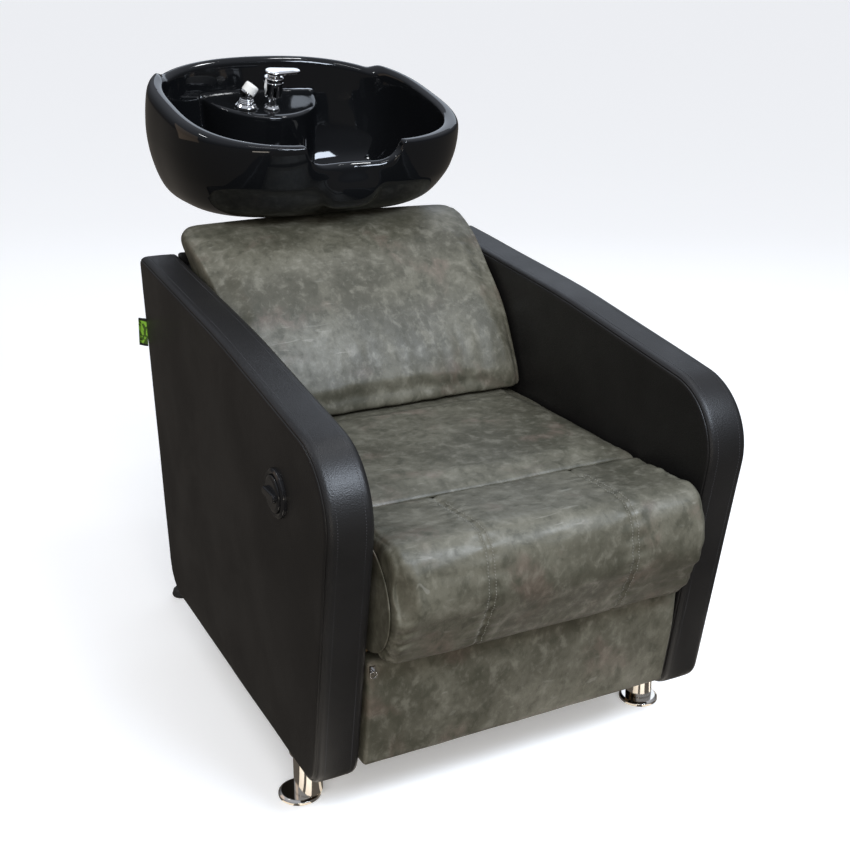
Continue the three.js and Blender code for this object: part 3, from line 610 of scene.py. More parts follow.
def lathe(name, profile, material, place, closed=False, segments=72):
    """A turned piece about Z from (radius, height, corner radius) corners in millimetres."""
    line = dense_outline(profile, closed=closed)
    vertices = [(radius * math.cos(a), radius * math.sin(a), height)
                for radius, height in line for a in around(segments)]
    piece = add_object(name, vertices, quads(len(line), segments, closed=closed), material)
    piece.data.transform(place)
    shade_by_angle(piece)
    return piece


def turned(name, profile, material, place, body, node, slot=None, closed=False):
    """A turned piece that stands for a node; slot is not used."""
    return finish_piece(lathe(name, profile, material, place, closed), body, slot or material, node)


def shade_by_angle(piece, angle=40):
    """Smooth shading except across edges sharper than the angle."""
    shell = bmesh.new()
    shell.from_mesh(piece.data)
    limit = math.radians(angle)
    for edge in shell.edges:
        edge.smooth = len(edge.link_faces) == 2 and edge.calc_face_angle(0) < limit
    shell.to_mesh(piece.data)
    shell.free()


def stitches(name, path, normals, pitch, material, thickness=0.0005):
    """A row of thread loops along a path that lies on a surface."""
    path, normals = np.asarray(path), np.asarray(normals)
    length = np.concatenate([[0], np.cumsum(np.linalg.norm(np.diff(path, axis=0), axis=1))])
    vertices, faces = [], []
    sides, share = 6, 0.62  # points round the thread, and the part of the pitch that it covers
    for start in np.arange(pitch / 2, length[-1] - pitch, pitch):
        at = start + np.linspace(0, pitch * share, 5)
        points, up = (np.stack([np.interp(at, length, line[:, k]) for k in range(3)], 1)
                      for line in (path, normals))
        along = points[-1] - points[0]
        along /= np.linalg.norm(along)
        first = len(vertices)
        for k, (point, out) in enumerate(zip(points, up)):
            side = np.cross(along, out)
            side /= np.linalg.norm(side)
            rise = thickness * (1.3 * math.sin(math.pi * k / 4) - 0.5)
            radius = thickness * (0.55 if k in (0, 4) else 1)
            vertices += [point + out * (rise + radius * math.sin(turn)) + side * radius * math.cos(turn)
                         for turn in around(sides)]
        faces += quads(5, sides, first)
        faces.append(tuple(first + j for j in reversed(range(sides))))
        faces.append(tuple(first + 4 * sides + j for j in range(sides)))
    return add_object(name, vertices, faces, material)


def weighted(piece, weights):
    group = piece.vertex_groups.new(name="weights")
    for index in np.nonzero(weights > 0.01)[0]:
        group.add([int(index)], float(weights[index]), "REPLACE")
    return group


def relax_where(piece, weights, rounds):
    """Smooths a piece only where the weights of its vertices say so."""
    modify(piece, "SMOOTH", iterations=rounds, vertex_group=weighted(piece, weights).name)
    piece.vertex_groups.clear()


CLOTH = {
    "quality": 5, "mass": 0.35, "tension_stiffness": 22, "compression_stiffness": 8, "shear_stiffness": 8,
    "bending_stiffness": 1.2, "use_pressure": True, "pin_stiffness": 1.0,
}
SHRINK = 0.2  # how far a swelling point may move back, as a share of how far it may move out


def inflate(piece, voxel, start, limit, cap, hold, pressure=4.0, frames=20, rounds=6):
    """Swells a soft piece by cloth simulation, from the box start and no further than the box limit.

    hold(points) is how firmly each point stays, 0 to 1, and cap is how far the others may move.
    """
    voxel_remesh(piece, voxel)
    relax(piece, rounds)
    refit(piece, *start)
    rest = coordinates(piece)
    outward = vertex_normals(piece)
    weights = np.clip(hold(rest), 0, 1)
    modifier = piece.modifiers.new("cloth", "CLOTH")
    for name, value in CLOTH.items():
        setattr(modifier.settings, name, value)
    modifier.settings.uniform_pressure_force = pressure
    modifier.settings.effector_weights.gravity = 0
    modifier.settings.vertex_group_mass = weighted(piece, weights).name
    modifier.collision_settings.use_collision = False
    modifier.point_cache.frame_start = 1
    modifier.point_cache.frame_end = frames
    scene = bpy.context.scene
    for number in range(1, frames + 1):
        scene.frame_set(number)
    move = coordinates(piece.evaluated_get(bpy.context.evaluated_depsgraph_get())) - rest
    piece.modifiers.remove(modifier)
    piece.vertex_groups.clear()
    scene.frame_set(1)
    swelling = np.clip(np.sum(move * outward, axis=1), -SHRINK * cap, cap)
    swollen = rest + outward * (swelling * (1 - weights))[:, None]
    set_coordinates(piece, np.clip(swollen, np.array(limit[0]), np.array(limit[1])))
    relax(piece, 2)


def displace(piece, amount):
    """Moves each vertex along its normal by amount(points)."""
    co = coordinates(piece)
    set_coordinates(piece, co + vertex_normals(piece) * amount(co)[:, None])


def keep_within(piece, low, high):
    """Holds a piece between two planes across X, as the arms do."""
    co = coordinates(piece)
    co[:, 0] = np.clip(co[:, 0], low, high)
    set_coordinates(piece, co)


def refit(piece, low, high):
    """Scales a piece along each axis to fill the box between two corners."""
    co = coordinates(piece)
    low, high = np.array(low), np.array(high)
    size = co.max(0) - co.min(0)
    set_coordinates(piece, low + (co - co.min(0)) / size * (high - low))


# ---- Arms -------------------------------------------------------------------------------------

ARM_CORNERS = [  # (y, z, corner radius) in the design's own millimetres
    (311, 685, 12),
    (-114, 646.5, 2500),
    (-539, 584, 105),
    (-453, 79, 38),
    (240.7, 79, 62),
]
ARM_EDGE = 0.0105
SEAM_ANGLE = 33  # where the seam lies on the rounded edge, from the face to the band


def placed_outline(corners, step):
    return resample(dense_outline(corners), step) + np.array([ORIGIN.y, 0])


def add_arms():
    outline = placed_outline(ARM_CORNERS, 0.0065)
    normals = outline_normals(outline)
    for side, sign in SIDES:
        low, high = (x + ORIGIN.x for x in sorted((sign * ARM_INNER, sign * ARM_OUTER)))
        middle = (low + high) / 2

        def band_lift(x, points):
            return np.full(len(points), 0.0012 * (1 - ((x - middle) / ((high - low) / 2)) ** 2))

        arm = slab(f"arm_{side}", outline, low, high, ARM_EDGE, "black_leatherette", 0.006,
                   lift=band_lift, crown=0.0016, seam=(SEAM_ANGLE, 0.0014))
        displace(arm, lambda points: 0.0006 * field(points, 8.0, 3 + sign))
        finish_piece(arm, "chair", "black_leatherette", f"arm_pad_{side}", fill=0.8)
        for face, x in zip(("inner", "outer"), (low, high) if sign > 0 else (high, low)):
            x += math.copysign(0.0145, middle - x)
            path = np.column_stack([np.full(len(outline), x), outline + normals * 0.0004])
            out = np.column_stack([np.zeros(len(outline)), normals])
            row = stitches(f"arm_stitches_{face}_{side}", path, out, 0.0042, "black_thread")
            finish_piece(row, "chair", "black_leatherette")


# ---- Back, seat and leg rest ------------------------------------------------------------------

BACK_FOOT, BACK_HEAD = np.array([0.097, 0.457]), np.array([0.268, 0.697])  # (y, z) of the back's board
BOARD_ALONG = (BACK_HEAD - BACK_FOOT) / np.linalg.norm(BACK_HEAD - BACK_FOOT)
BACK_TOP_RADIUS = 0.034
CUSHION_HALF = SEAT_HALF - 0.002


def soften(outline, passes):
    """Rounds the corners of a closed outline."""
    for _ in range(passes):
        outline = (np.roll(outline, 1, 0) + 2 * outline + np.roll(outline, -1, 0)) / 4
    return outline


def back_outline():
    front = np.vstack([
        [(97, 457.5), (268, 697.5), (283, 712)],
        bezier((283, 712), (288, 731), (266, 731), steps=8),
        bezier((266, 731), (190, 715), (110, 665), (60, 600)),
        bezier((60, 600), (25, 552), (0, 505), (-12, 458)),
    ]) * MM
    outline = soften(resample(front, 0.004), 8)
    return resample(outline, 0.006) + np.array([ORIGIN.y, 0])


def board_frame(points):
    """Distances of points along the back's board and in front of it."""
    across = np.array([-BOARD_ALONG[1], BOARD_ALONG[0]])
    local = points[:, 1:] - BACK_FOOT - np.array([ORIGIN.y, 0])
    return local @ BOARD_ALONG, local @ across


def round_back_top(back):
    """Rounds the two top corners of the back, seen from the front."""
    co = coordinates(back)
    up, _ = board_frame(co)
    beside = abs(co[:, 0] - ORIGIN.x) - (CUSHION_HALF - BACK_TOP_RADIUS)
    above = up - (up.max() - BACK_TOP_RADIUS)
    reach = np.hypot(beside, above)
    inside = (beside > 0) & (above > 0) & (reach > BACK_TOP_RADIUS)
    shrink = np.where(inside, 1 - BACK_TOP_RADIUS / np.maximum(reach, 1e-6), 0)
    co[:, 0] -= np.sign(co[:, 0] - ORIGIN.x) * beside * shrink
    co[:, 1:] -= (above * shrink)[:, None] * BOARD_ALONG
    set_coordinates(back, co)


def cushion_slab(name, outline, edge):
    return slab(name, outline, ORIGIN.x - CUSHION_HALF, ORIGIN.x + CUSHION_HALF, edge, "grey_leatherette")


def add_back():
    back = cushion_slab("back_cushion_cover", back_outline(), 0.010)
    round_back_top(back)

    def hold(points):
        return 1 - smoothstep(board_frame(points)[1], 0.004, 0.022)

    box_low, box_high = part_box("back_cushion")
    box = ((ORIGIN.x - SEAT_HALF, box_low.y - 0.001, SEAT_TOP + 0.0015),
           (ORIGIN.x + SEAT_HALF, box_high.y, 0.7355))
    inflate(back, 0.006, box, box, 0.008, hold)
    subdivide(back)

    def creases(points):
        up, front = board_frame(points)
        side = CUSHION_HALF - abs(points[:, 0] - ORIGIN.x)
        face = smoothstep(front, 0.01, 0.03)
        seam = -0.0016 * valley(side - 0.0095, 0.0042) * face
        pucker = field(points * np.array([1, 0.25, 0.25]), 40.0, 2.0) * 0.0014
        low = smoothstep(up, 0.075, 0.02) * face
        ripple = field(points, 11.0, 5.0) * 0.0016 * face
        return seam + pucker * low + ripple

    displace(back, creases)
    keep_within(back, ORIGIN.x - SEAT_HALF, ORIGIN.x + SEAT_HALF)
    co = coordinates(back)
    arm_line = 0.606 + 0.115 * (co[:, 1] - ORIGIN.y)  # above the arms the back is free to bulge
    free = smoothstep(co[:, 2] - arm_line, 0.03, 0.09)
    across = (co[:, 0] - ORIGIN.x) / SEAT_HALF
    co[:, 0] += across * 0.009 * free
    co[:, 2] += 0.005 * (1 - across**2) * free
    set_coordinates(back, co)
    finish_piece(back, "chair", "grey_leatherette", "back_cushion", fill=0.8)


GROOVE = (-0.3625, 0.0095, 0.013)  # between the seat and the roll: place along Y, half width, depth


def sink_groove(piece):
    middle, width, depth = GROOVE
    co = coordinates(piece)
    co[:, 2] -= depth * valley(co[:, 1] - ORIGIN.y - middle, width) * smoothstep(co[:, 2], 0.415, 0.435)
    set_coordinates(piece, co)


SEAT_HOLLOW = 0.1185  # radius of the seat's front, which is hollow round the roll's pivot


def add_seat():
    top_angle, low_angle = (math.asin((height - KNEE.z) / SEAT_HOLLOW) for height in (0.449, 0.3453))
    arc = [(KNEE.y + SEAT_HOLLOW * math.cos(a), KNEE.z + SEAT_HOLLOW * math.sin(a))
           for a in np.linspace(top_angle, low_angle, 14)]
    profile = np.vstack([
        np.array([(88, 345.3), (88, 436), (76, 447)]) * MM,
        np.array(bezier((76, 447), (-180, 449), (-359, 448), steps=30)[1:-1]) * MM,
        arc,
    ])
    outline = resample(profile, 0.005) + np.array([ORIGIN.y, 0])
    seat = cushion_slab("seat_cushion_cover", outline, 0.0012)

    def hold(points):
        below = 1 - smoothstep(points[:, 2], 0.40, 0.44)
        front = 1 - smoothstep(points[:, 1] - ORIGIN.y, -0.352, -0.325)
        return np.maximum(below, front)

    box_low, box_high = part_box("seat_cushion")
    start, limit = ((box_low, (box_high.x, box_high.y, SEAT_TOP + rise)) for rise in (-0.002, 0.006))
    inflate(seat, 0.006, start, limit, 0.009, hold, rounds=5)
    subdivide(seat)

    def creases(points):
        top = smoothstep(points[:, 2], 0.425, 0.445)
        side = CUSHION_HALF - abs(points[:, 0] - ORIGIN.x)
        behind = points[:, 1] - (ORIGIN.y - 0.36)
        pull = -0.003 * smoothstep(0.05 - side, 0, 0.05) * top
        ripple = field(points * np.array([0.6, 1.4, 1]), 12.0, 9.0) * 0.0018 * top
        near_roll = smoothstep(0.11 - behind, 0, 0.09)
        strain = field(points * np.array([0.35, 2.2, 1]), 34.0, 4.0) * 0.0014 * top * near_roll
        return pull + ripple + strain

    displace(seat, creases)
    keep_within(seat, ORIGIN.x - SEAT_HALF, ORIGIN.x + SEAT_HALF)
    sink_groove(seat)
    co = coordinates(seat)
    under_back = smoothstep(co[:, 1] - ORIGIN.y, -0.050, -0.018)
    pressed = np.minimum(co[:, 2], SEAT_TOP - 0.0005)
    co[:, 2] += (pressed - co[:, 2]) * under_back
    away = co[:, 1:] - PIVOT
    near = np.hypot(away[:, 0], away[:, 1])
    push = np.where((near < SEAT_HOLLOW) & (away[:, 0] > 0), SEAT_HOLLOW / near, 1.0)
    co[:, 1:] += away * (push - 1)[:, None]
    set_coordinates(seat, co)
    finish_piece(seat, "chair", "grey_leatherette", "seat_cushion", fill=0.7)


ROLL_CORNERS = [
    (-369, 457, 24),
    (-544, 468, 46),
    (-561, 378, 60),
    (-513, 280, 30),
    (-395, 278, 40),
    (-337, 358, 36),
]
ROLL_SEAMS = (-0.112, 0.118)
ROLL_CLEAR = 0.1175  # how far the roll may reach from its pivot towards the seat


def add_knee_roll():
    outline = placed_outline(ROLL_CORNERS, 0.005)
    box_low, box_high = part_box("knee_roll")
    low, high = box_low.x, box_high.x
    middle = (low + high) / 2
    roll = slab("knee_roll_cover", outline, low + 0.001, high - 0.001, 0.013, "grey_leatherette")

    def hold(points):
        away = np.hypot(*(points[:, 1:] - PIVOT).T)
        return np.where(points[:, 1] > PIVOT[0], 1.0, 0.35) * smoothstep(away, 0.02, 0.06)

    start = ((low, box_low.y + 0.001, box_low.z), (high, box_high.y + 0.015, box_high.z - 0.001))
    limit = ((low, box_low.y - 0.003, box_low.z), (high, box_high.y + 0.015, box_high.z + 0.002))
    inflate(roll, 0.006, start, limit, 0.006, hold, pressure=3.0, rounds=4)
    subdivide(roll)

    def sewn(points):
        away = points[:, 1:] - PIVOT
        turn = np.arctan2(away[:, 1], away[:, 0])
        outside = smoothstep(np.hypot(away[:, 0], away[:, 1]), 0.055, 0.080)
        rise = np.zeros(len(points))
        for seam in ROLL_SEAMS:
            off = points[:, 0] - ORIGIN.x - seam
            rise -= 0.0030 * valley(off, 0.0048) * outside
            rise += valley(off, 0.020) * 0.0009 * np.sin(turn * 34 + 3 * seam) * outside
        end = (high - low) / 2 - abs(points[:, 0] - middle)
        left = points[:, 0] < middle
        gather = field(np.stack([np.cos(turn), np.sin(turn), left * 3.0], 1), 5.2, 1.0)
        rise += 0.0042 * gather * smoothstep(0.042 - end, 0, 0.036) * outside
        rise -= 0.0022 * valley(end - 0.006, 0.004) * outside
        pleats = np.sin(turn * 27 + end * 120 + 5 * gather) * smoothstep(0.036 - end, 0, 0.028) * left
        upper_front = smoothstep(-np.cos(turn), 0.3, 0.8) * smoothstep(-np.sin(turn), -0.25, 0.3)
        rise += 0.0017 * pleats * outside * upper_front
        ripple = field(points * np.array([1, 1.3, 1.3]), 13.0, 7.0) * 0.0018 * outside
        strain = field(points * np.array([0.5, 2, 2]), 40.0, 3.0) * 0.0007 * outside
        return rise + ripple + strain

    displace(roll, sewn)
    tuck = np.array([low + 0.008, ORIGIN.y - 0.552, 0.402])
    ridge_place = tuck + np.array([0.019, 0, 0.002])
    co = coordinates(roll)
    hollow, ridge = (
        valley(np.linalg.norm((co - place) / np.array(size), axis=1), 1)
        for place, size in ((tuck, (0.010, 0.045, 0.030)), (ridge_place, (0.007, 0.045, 0.034)))
    )
    co[:, 1] += 0.020 * hollow - 0.004 * ridge
    set_coordinates(roll, co)
    sink_groove(roll)
    keep_within(roll, low, high)
    co = coordinates(roll)
    away = co[:, 1:] - PIVOT
    far = np.hypot(away[:, 0], away[:, 1])
    behind = (away[:, 0] > 0) & (far > ROLL_CLEAR)
    pulled = PIVOT + away * (ROLL_CLEAR / np.maximum(far, 1e-6))[:, None]
    co[:, 1:] = np.where(behind[:, None], pulled, co[:, 1:])
    set_coordinates(roll, co)
    finish_piece(roll, "leg_rest", "grey_leatherette", "knee_roll", fill=0.8)
    add_roll_stitches(roll)


def add_roll_stitches(roll):
    """Two rows of stitches beside each seam, laid on the finished roll by casting rays at it."""
    for index, seam in enumerate(ROLL_SEAMS):
        for side, offset in (("a", -0.0052), ("b", 0.0052)):
            x = ORIGIN.x + seam + offset
            path, out = [], []
            for angle in np.linspace(math.radians(68), math.radians(236), 150):
                way = Vector((0, math.cos(angle), math.sin(angle)))
                hit, place, normal, _ = roll.ray_cast(Vector((x, *PIVOT)) + way * 0.25, -way)
                if hit:
                    path.append(place)
                    out.append(normal)
            row = stitches(f"roll_stitches_{index + 1}{side}", path, out, 0.0046, "grey_thread")
            finish_piece(row, "leg_rest", "grey_leatherette")


PAD_CORNERS = [(-479, 276, 6), (-477, 210, 400), (-459, 101, 8), (-424, 101, 4), (-444, 276, 4)]


def add_leg_rest_pad():
    outline = placed_outline(PAD_CORNERS, 0.005)
    low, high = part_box("leg_rest_pad")
    front = smoothstep(-outline_normals(outline)[:, 0], 0.3, 0.9)

    def waves(x, points):
        down = smoothstep(points[:, 1], 0.276, 0.101)
        ripple = np.sin(x * 41 + points[:, 1] * 9) + 0.6 * np.sin(x * 97 + 2)
        return front * (0.002 + 0.0006 * ripple * (0.5 + 0.3 * down))

    pad = slab("leg_rest_cover", outline, low.x, high.x, 0.007, "grey_leatherette", 0.006,
               lift=waves, crown=0.0005)
    finish_piece(pad, "leg_rest", "grey_leatherette", "leg_rest_pad", fill=0.5)


def add_roll_ends():
    profile = [(6.5, -1.3), (70, -1.3, 20), (83, -0.9, 1.1), (83, 1.3, 1.1), (70, 1.3, 20), (6.5, 1.3)]
    for side, _ in SIDES:
        node = f"roll_end_{side}"
        place = Matrix.Translation(middle_of(node)) @ Matrix.Rotation(math.radians(90), 4, "Y")
        turned(f"roll_end_cap_{side}", profile, "grey_leatherette", place, "leg_rest", node, closed=True)


REAR_LEAN = 0.116  # how far the arms' rear edges go back per metre of height


def add_rear_panel():
    low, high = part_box("rear_panel")
    top_y, foot_y = high.y / MM, (high.y - REAR_LEAN * (high.z - low.z)) / MM
    top, foot, thick = high.z / MM, low.z / MM, 12
    corners = [(foot_y, foot, 4), (top_y, top, 4), (top_y - thick, top, 4), (foot_y - thick, foot, 4)]
    outline = resample(dense_outline(corners), 0.006)
    panel = slab("rear_panel_cover", outline, low.x, high.x, 0.004, "black_leatherette", crown=0.0002)
    finish_piece(panel, "chair", "black_leatherette", "rear_panel", fill=0.6)


# ---- Basin ------------------------------------------------------------------------------------

BASIN_TILT, BASIN_YAW = math.atan(0.2806), math.radians(2.5)
BASIN_PLACE = (
    Matrix.Translation(ORIGIN + Vector((0, 0.342, 0.9333)))
    @ Matrix.Rotation(BASIN_YAW, 4, "Z")
    @ Matrix.Rotation(BASIN_TILT, 4, "X")
)
BASIN_HALF_WIDTH, BASIN_HALF_LENGTH = 263.0, 223.5
RIM_POWER = 2.85  # of the rim's rounded oblong; 2 would be an ellipse
RIM_RISE = 0.00141  # how much deeper the bowl is per millimetre towards its rear
DECK_LEVEL = -58
MIXER_SPOT, SHOWER_SPOT = (-16, 106), (-62, 118)
INNER_SKIN = 13  # where the inside of the bowl begins in BASIN_SKIN
BASIN_SKIN = [  # (share of the rim outline, height below the rim), from under the bowl to its inside
    (0, -199), (0.5, -199), (0.71, -195), (0.83, -182), (0.915, -158), (0.985, -118), (1.025, -78),
    (1.035, -45), (1.03, -18), (1.018, -6), (0.995, 0.5), (0.965, 2), (0.935, 0), (0.918, -7), (0.912, -40),
    (0.9, -80), (0.868, -115), (0.795, -150), (0.65, -172), (0.43, -181), (0, -184),
]
WALL_MIDDLE = [(0, -192), (0.48, -191), (0.76, -179), (0.89, -148), (0.965, -90), (0.97, -30), (0, -30)]


def spline(points, steps):
    """A smooth line through the points (Catmull-Rom)."""
    p = np.vstack([2 * points[0] - points[1], points, 2 * points[-1] - points[-2]])
    t = np.linspace(0, 1, steps, endpoint=False)[:, None]
    line = [
        0.5 * (2 * p[k] + (p[k + 1] - p[k - 1]) * t
               + (2 * p[k - 1] - 5 * p[k] + 4 * p[k + 1] - p[k + 2]) * t**2
               + (3 * p[k] - p[k - 1] - 3 * p[k + 1] + p[k + 2]) * t**3)
        for k in range(1, len(p) - 2)
    ]
    return np.vstack([*line, points[-1:]])


def rounded_square(turn, power):
    return [np.sign(value) * np.abs(value) ** (2 / power) for value in (np.cos(turn), np.sin(turn))]


def basin_plan(share, angle, height):
    """Points of the bowl, in millimetres in its own frame, from shares of the rim outline."""
    square = smoothstep(share, 0.1, 0.5)
    rim_x, rim_y = rounded_square(angle, RIM_POWER)
    rim_x, rim_y = BASIN_HALF_WIDTH * rim_x, BASIN_HALF_LENGTH * rim_y
    round_x, round_y = BASIN_HALF_LENGTH * np.cos(angle), BASIN_HALF_LENGTH * np.sin(angle)
    long_share = np.where(share > 1, 1 + (share - 1) * 0.2, share)
    x = share * (round_x + (rim_x - round_x) * square)
    y = long_share * (round_y + (rim_y - round_y) * square)
    y = y + 14 * np.exp(-((x / 75) ** 2)) * smoothstep(-y, 120, 200)  # the neck rest's bulge
    y = y + np.minimum(height, 0) * 0.3 * smoothstep(y, 60, 220)  # the rear wall's slope
    z = height * (1 + RIM_RISE * y)
    rear = smoothstep(y, 90, 130) * (1 - smoothstep(np.abs(x), 205, 228))
    z = z - 10 * (x / 205) ** 2 * rear * smoothstep(z, -60, -10)  # the rear rim dips beside the fittings
    return np.stack([x, y, z], -1)


def notch_floor(x):
    """Height of the neck notch's floor across the front of the rim."""
    across = np.abs(x)
    corner = 38 - np.sqrt(np.clip(36**2 - np.clip(across - 54, 0, 36) ** 2, 0, None))
    return np.where(across < 90, np.maximum(-43 + 8 * (across / 54) ** 2, -35 + corner - 2), 10)


def basin_skin(profile, segments, steps, notched):
    line = spline(np.array(profile, float), steps) if steps > 1 else np.array(profile, float)
    share, turn = np.meshgrid(np.clip(line[:, 0], 0, None), around(segments), indexing="ij")
    points = basin_plan(share, turn, np.repeat(line[:, 1:2], segments, 1))
    if notched:
        notch = np.minimum(points[..., 2], notch_floor(points[..., 0]))
        points[..., 2] = np.where(points[..., 1] < -100, notch, points[..., 2])
    return points.reshape(-1, 3) * MM, quads(len(line), segments)


def basin_block(name, outline, low, high, along_x=False):
    """A block in the bowl's frame: an outline in millimetres carried along Z, or along X."""
    count = len(outline)
    points = [(c, a, b) if along_x else (a, b, c) for c in (low, high) for a, b in outline]
    ends = [tuple(range(count)), tuple(range(count, 2 * count))]
    ends[along_x] = ends[along_x][::-1]
    return add_object(name, np.array(points) * MM, ends + quads(2, count), "black_ceramic")


def inside_wall(block):
    """The part of a block that lies within the middle of the bowl's wall."""
    wall = add_object("wall_middle", *basin_skin(WALL_MIDDLE, 96, 1, False), "black_ceramic")
    return boolean(block, wall, "INTERSECT")


def neck_apron():
    """The lip that rolls over the front of the neck notch and down the outside of the bowl."""
    levels = [  # (height, half width, front) in the bowl's own millimetres
        (-47, 58, -203), (-51, 62, -212), (-60, 62, -220), (-74, 59, -224.5), (-90, 54, -226),
        (-104, 49, -224.5), (-114, 44, -220), (-120, 37, -211),
    ]
    count, rear = 64, -176
    across, along = rounded_square(around(count), 3.4)
    vertices = []
    for height, half, front in levels:
        y = (front + rear) / 2 + (rear - front) / 2 * along
        vertices += [(a * MM, b * MM, height * MM) for a, b in zip(half * across, y)]
    vertices += [(0, -0.19, levels[0][0] * MM), (0, -0.19, levels[-1][0] * MM)]
    return add_object("apron", vertices, closed_rings(len(levels), count), "black_ceramic")


def add_basin():
    shell = add_object("shell", *basin_skin(BASIN_SKIN, 480, 6, True), "black_ceramic")

    turn = around(96)
    ellipse = np.stack([-13 + 118 * np.cos(turn), BASIN_HALF_LENGTH - 18 + 145 * np.sin(turn)], 1)
    deck = inside_wall(basin_block("deck", ellipse, -195, DECK_LEVEL))
    bore = np.stack([place + 15.5 * way(turn) for place, way in zip(SHOWER_SPOT, (np.cos, np.sin))], 1)
    deck = boolean(deck, basin_block("bore", bore, DECK_LEVEL - 55, DECK_LEVEL + 10), "DIFFERENCE")
    slope = dense_outline([(-219, -43), (-128, -76, 14), (-121, -200), (-219, -200)]) / MM
    ramp = inside_wall(basin_block("ramp", slope, -80, 80, along_x=True))

    bowl = merge([shell, deck, ramp, neck_apron()], "basin_bowl")
    voxel_remesh(bowl, 0.0022)
    relax(bowl, 6)
    co = coordinates(bowl) / MM
    height = co[:, 2] / (1 + RIM_RISE * co[:, 1])
    inner = np.array(BASIN_SKIN[INNER_SKIN:], float)[::-1]
    wall = np.interp(height, inner[:, 1], inner[:, 0])
    share = sum(np.abs(co[:, k] / half) ** RIM_POWER
                for k, half in enumerate((BASIN_HALF_WIDTH, BASIN_HALF_LENGTH))) ** (1 / RIM_POWER)
    inside = smoothstep(wall + 0.02 - share, 0.0, 0.03) * smoothstep(-height, 12, 30) * (height > -186)
    relax_where(bowl, inside, 26)
    co = coordinates(bowl) / MM
    saddle = smoothstep(-co[:, 1], 130, 165) * (1 - smoothstep(np.abs(co[:, 0]), 66, 92))
    saddle = saddle * smoothstep(co[:, 2], -150, -125)
    relax_where(bowl, saddle * (1 - smoothstep(co[:, 2], -34, -22)), 220)
    bowl.data.transform(BASIN_PLACE)
    finish_piece(bowl, "basin_unit", "black_ceramic", "basin")


# ---- Fittings of the basin --------------------------------------------------------------------

GAP = 0.3  # mm between a fitting and what it stands on
LIE_FLAT = Matrix(((0, 1, 0, 0), (0, 0, 1, 0), (1, 0, 0, 0), (0, 0, 0, 1)))  # X becomes up


def on_deck(x, y):
    return BASIN_PLACE @ Matrix.Translation(Vector((x, y, 0)) * MM)


def add_mixer():
    place = on_deck(*MIXER_SPOT)
    base = DECK_LEVEL + GAP
    foot = base + 6 + GAP
    top = foot + 12
    crown = top + 42
    rosette = [(0, base), (15, base, 0.4), (15, base + 2.5, 1.2), (11.5, base + 6, 1.5), (0, base + 6)]
    body = [
        (0, foot), (7.5, foot, 0.3), (7.5, top, 1.5), (12, top + 3, 2), (18, top + 7, 3),
        (18, top + 33, 0.4), (17.3, top + 33.6, 0.2), (17.3, top + 34.8, 0.2),
        (18, top + 35.4, 0.4), (18, crown, 2), (0, crown),
    ]
    cap = [
        (0, crown + GAP), (12, crown + GAP, 0.3), (12, crown + 3, 1.5), (9, crown + 6, 0.6), (0, crown + 6),
    ]
    turned("mixer_rosette", rosette, "chrome", place, "basin_unit", "mixer_base")
    turned("mixer_column", body, "chrome", place, "basin_unit", "mixer_body")
    turned("mixer_turret", cap, "chrome", place, "mixer_cap", "mixer_cap")

    paddle = [(middle + sign * radius * math.cos(a), sign * radius * math.sin(a))
              for middle, radius, sign in ((0, 17, 1), (40, 11, -1))
              for a in np.linspace(math.pi / 2, 1.5 * math.pi, 20)]
    outline = resample(np.array(paddle) * MM, 0.0015)
    lever = slab("mixer_paddle", outline, 0, 0.0057, 0.0020, "chrome", 0.002, crown=0.0006)
    lever.data.transform(place @ Matrix.Translation((0, 0, (crown + 6 + GAP) * MM)) @ LIE_FLAT)
    finish_piece(lever, "mixer_lever", "chrome", "mixer_lever")


def add_shower():
    place = on_deck(*SHOWER_SPOT)
    top = DECK_LEVEL + GAP
    cradle = [
        (12.3, top - 40), (15, top - 40, 0.5), (15, top, 0.3), (20.5, top, 0.3), (20.5, top + 3.5, 1.5),
        (16.5, top + 8, 1.5), (12.3, top + 8, 0.4),
    ]
    turned("shower_holder", cradle, "chrome", place, "basin_unit", "shower_cradle", closed=True)

    handle = [
        (0, top - 38), (12, top - 38, 1), (12, top + 8 + GAP, 0.2), (14.6, top + 9.6, 0.8),
        (13, top + 11.4, 0.6), (14, top + 12.8, 0.6), (12.2, top + 14.4, 0.6), (13.2, top + 15.8, 0.6),
        (11.4, top + 17.4, 0.6), (11, top + 24, 3), (0, top + 24),
    ]
    collar = [(0, -16), (11, -16, 1.5), (13, -10, 1), (14, -8, 0.5), (14, -4.5, 0.5), (0, -4.5)]
    head = [
        (0, -4.3), (13.6, -4.3, 0.4), (13.6, 9, 2.5), (12, 12, 1), (10.5, 12, 0.4), (10.2, 11.2, 0.3),
        (0, 11.2),
    ]
    tilt = place @ Matrix.Translation((0.004, 0, (top + 32) * MM))
    tilt = tilt @ Matrix.Rotation(math.radians(35), 4, "Y")
    parts = [lathe("shower_neck", handle, "chrome", place), lathe("collar", collar, "chrome", tilt)]
    finish_piece(merge(parts, "shower_neck"), "hand_shower", "chrome", "hand_shower")
    finish_piece(lathe("shower_head", head, "white_plastic", tilt), "hand_shower", "chrome")


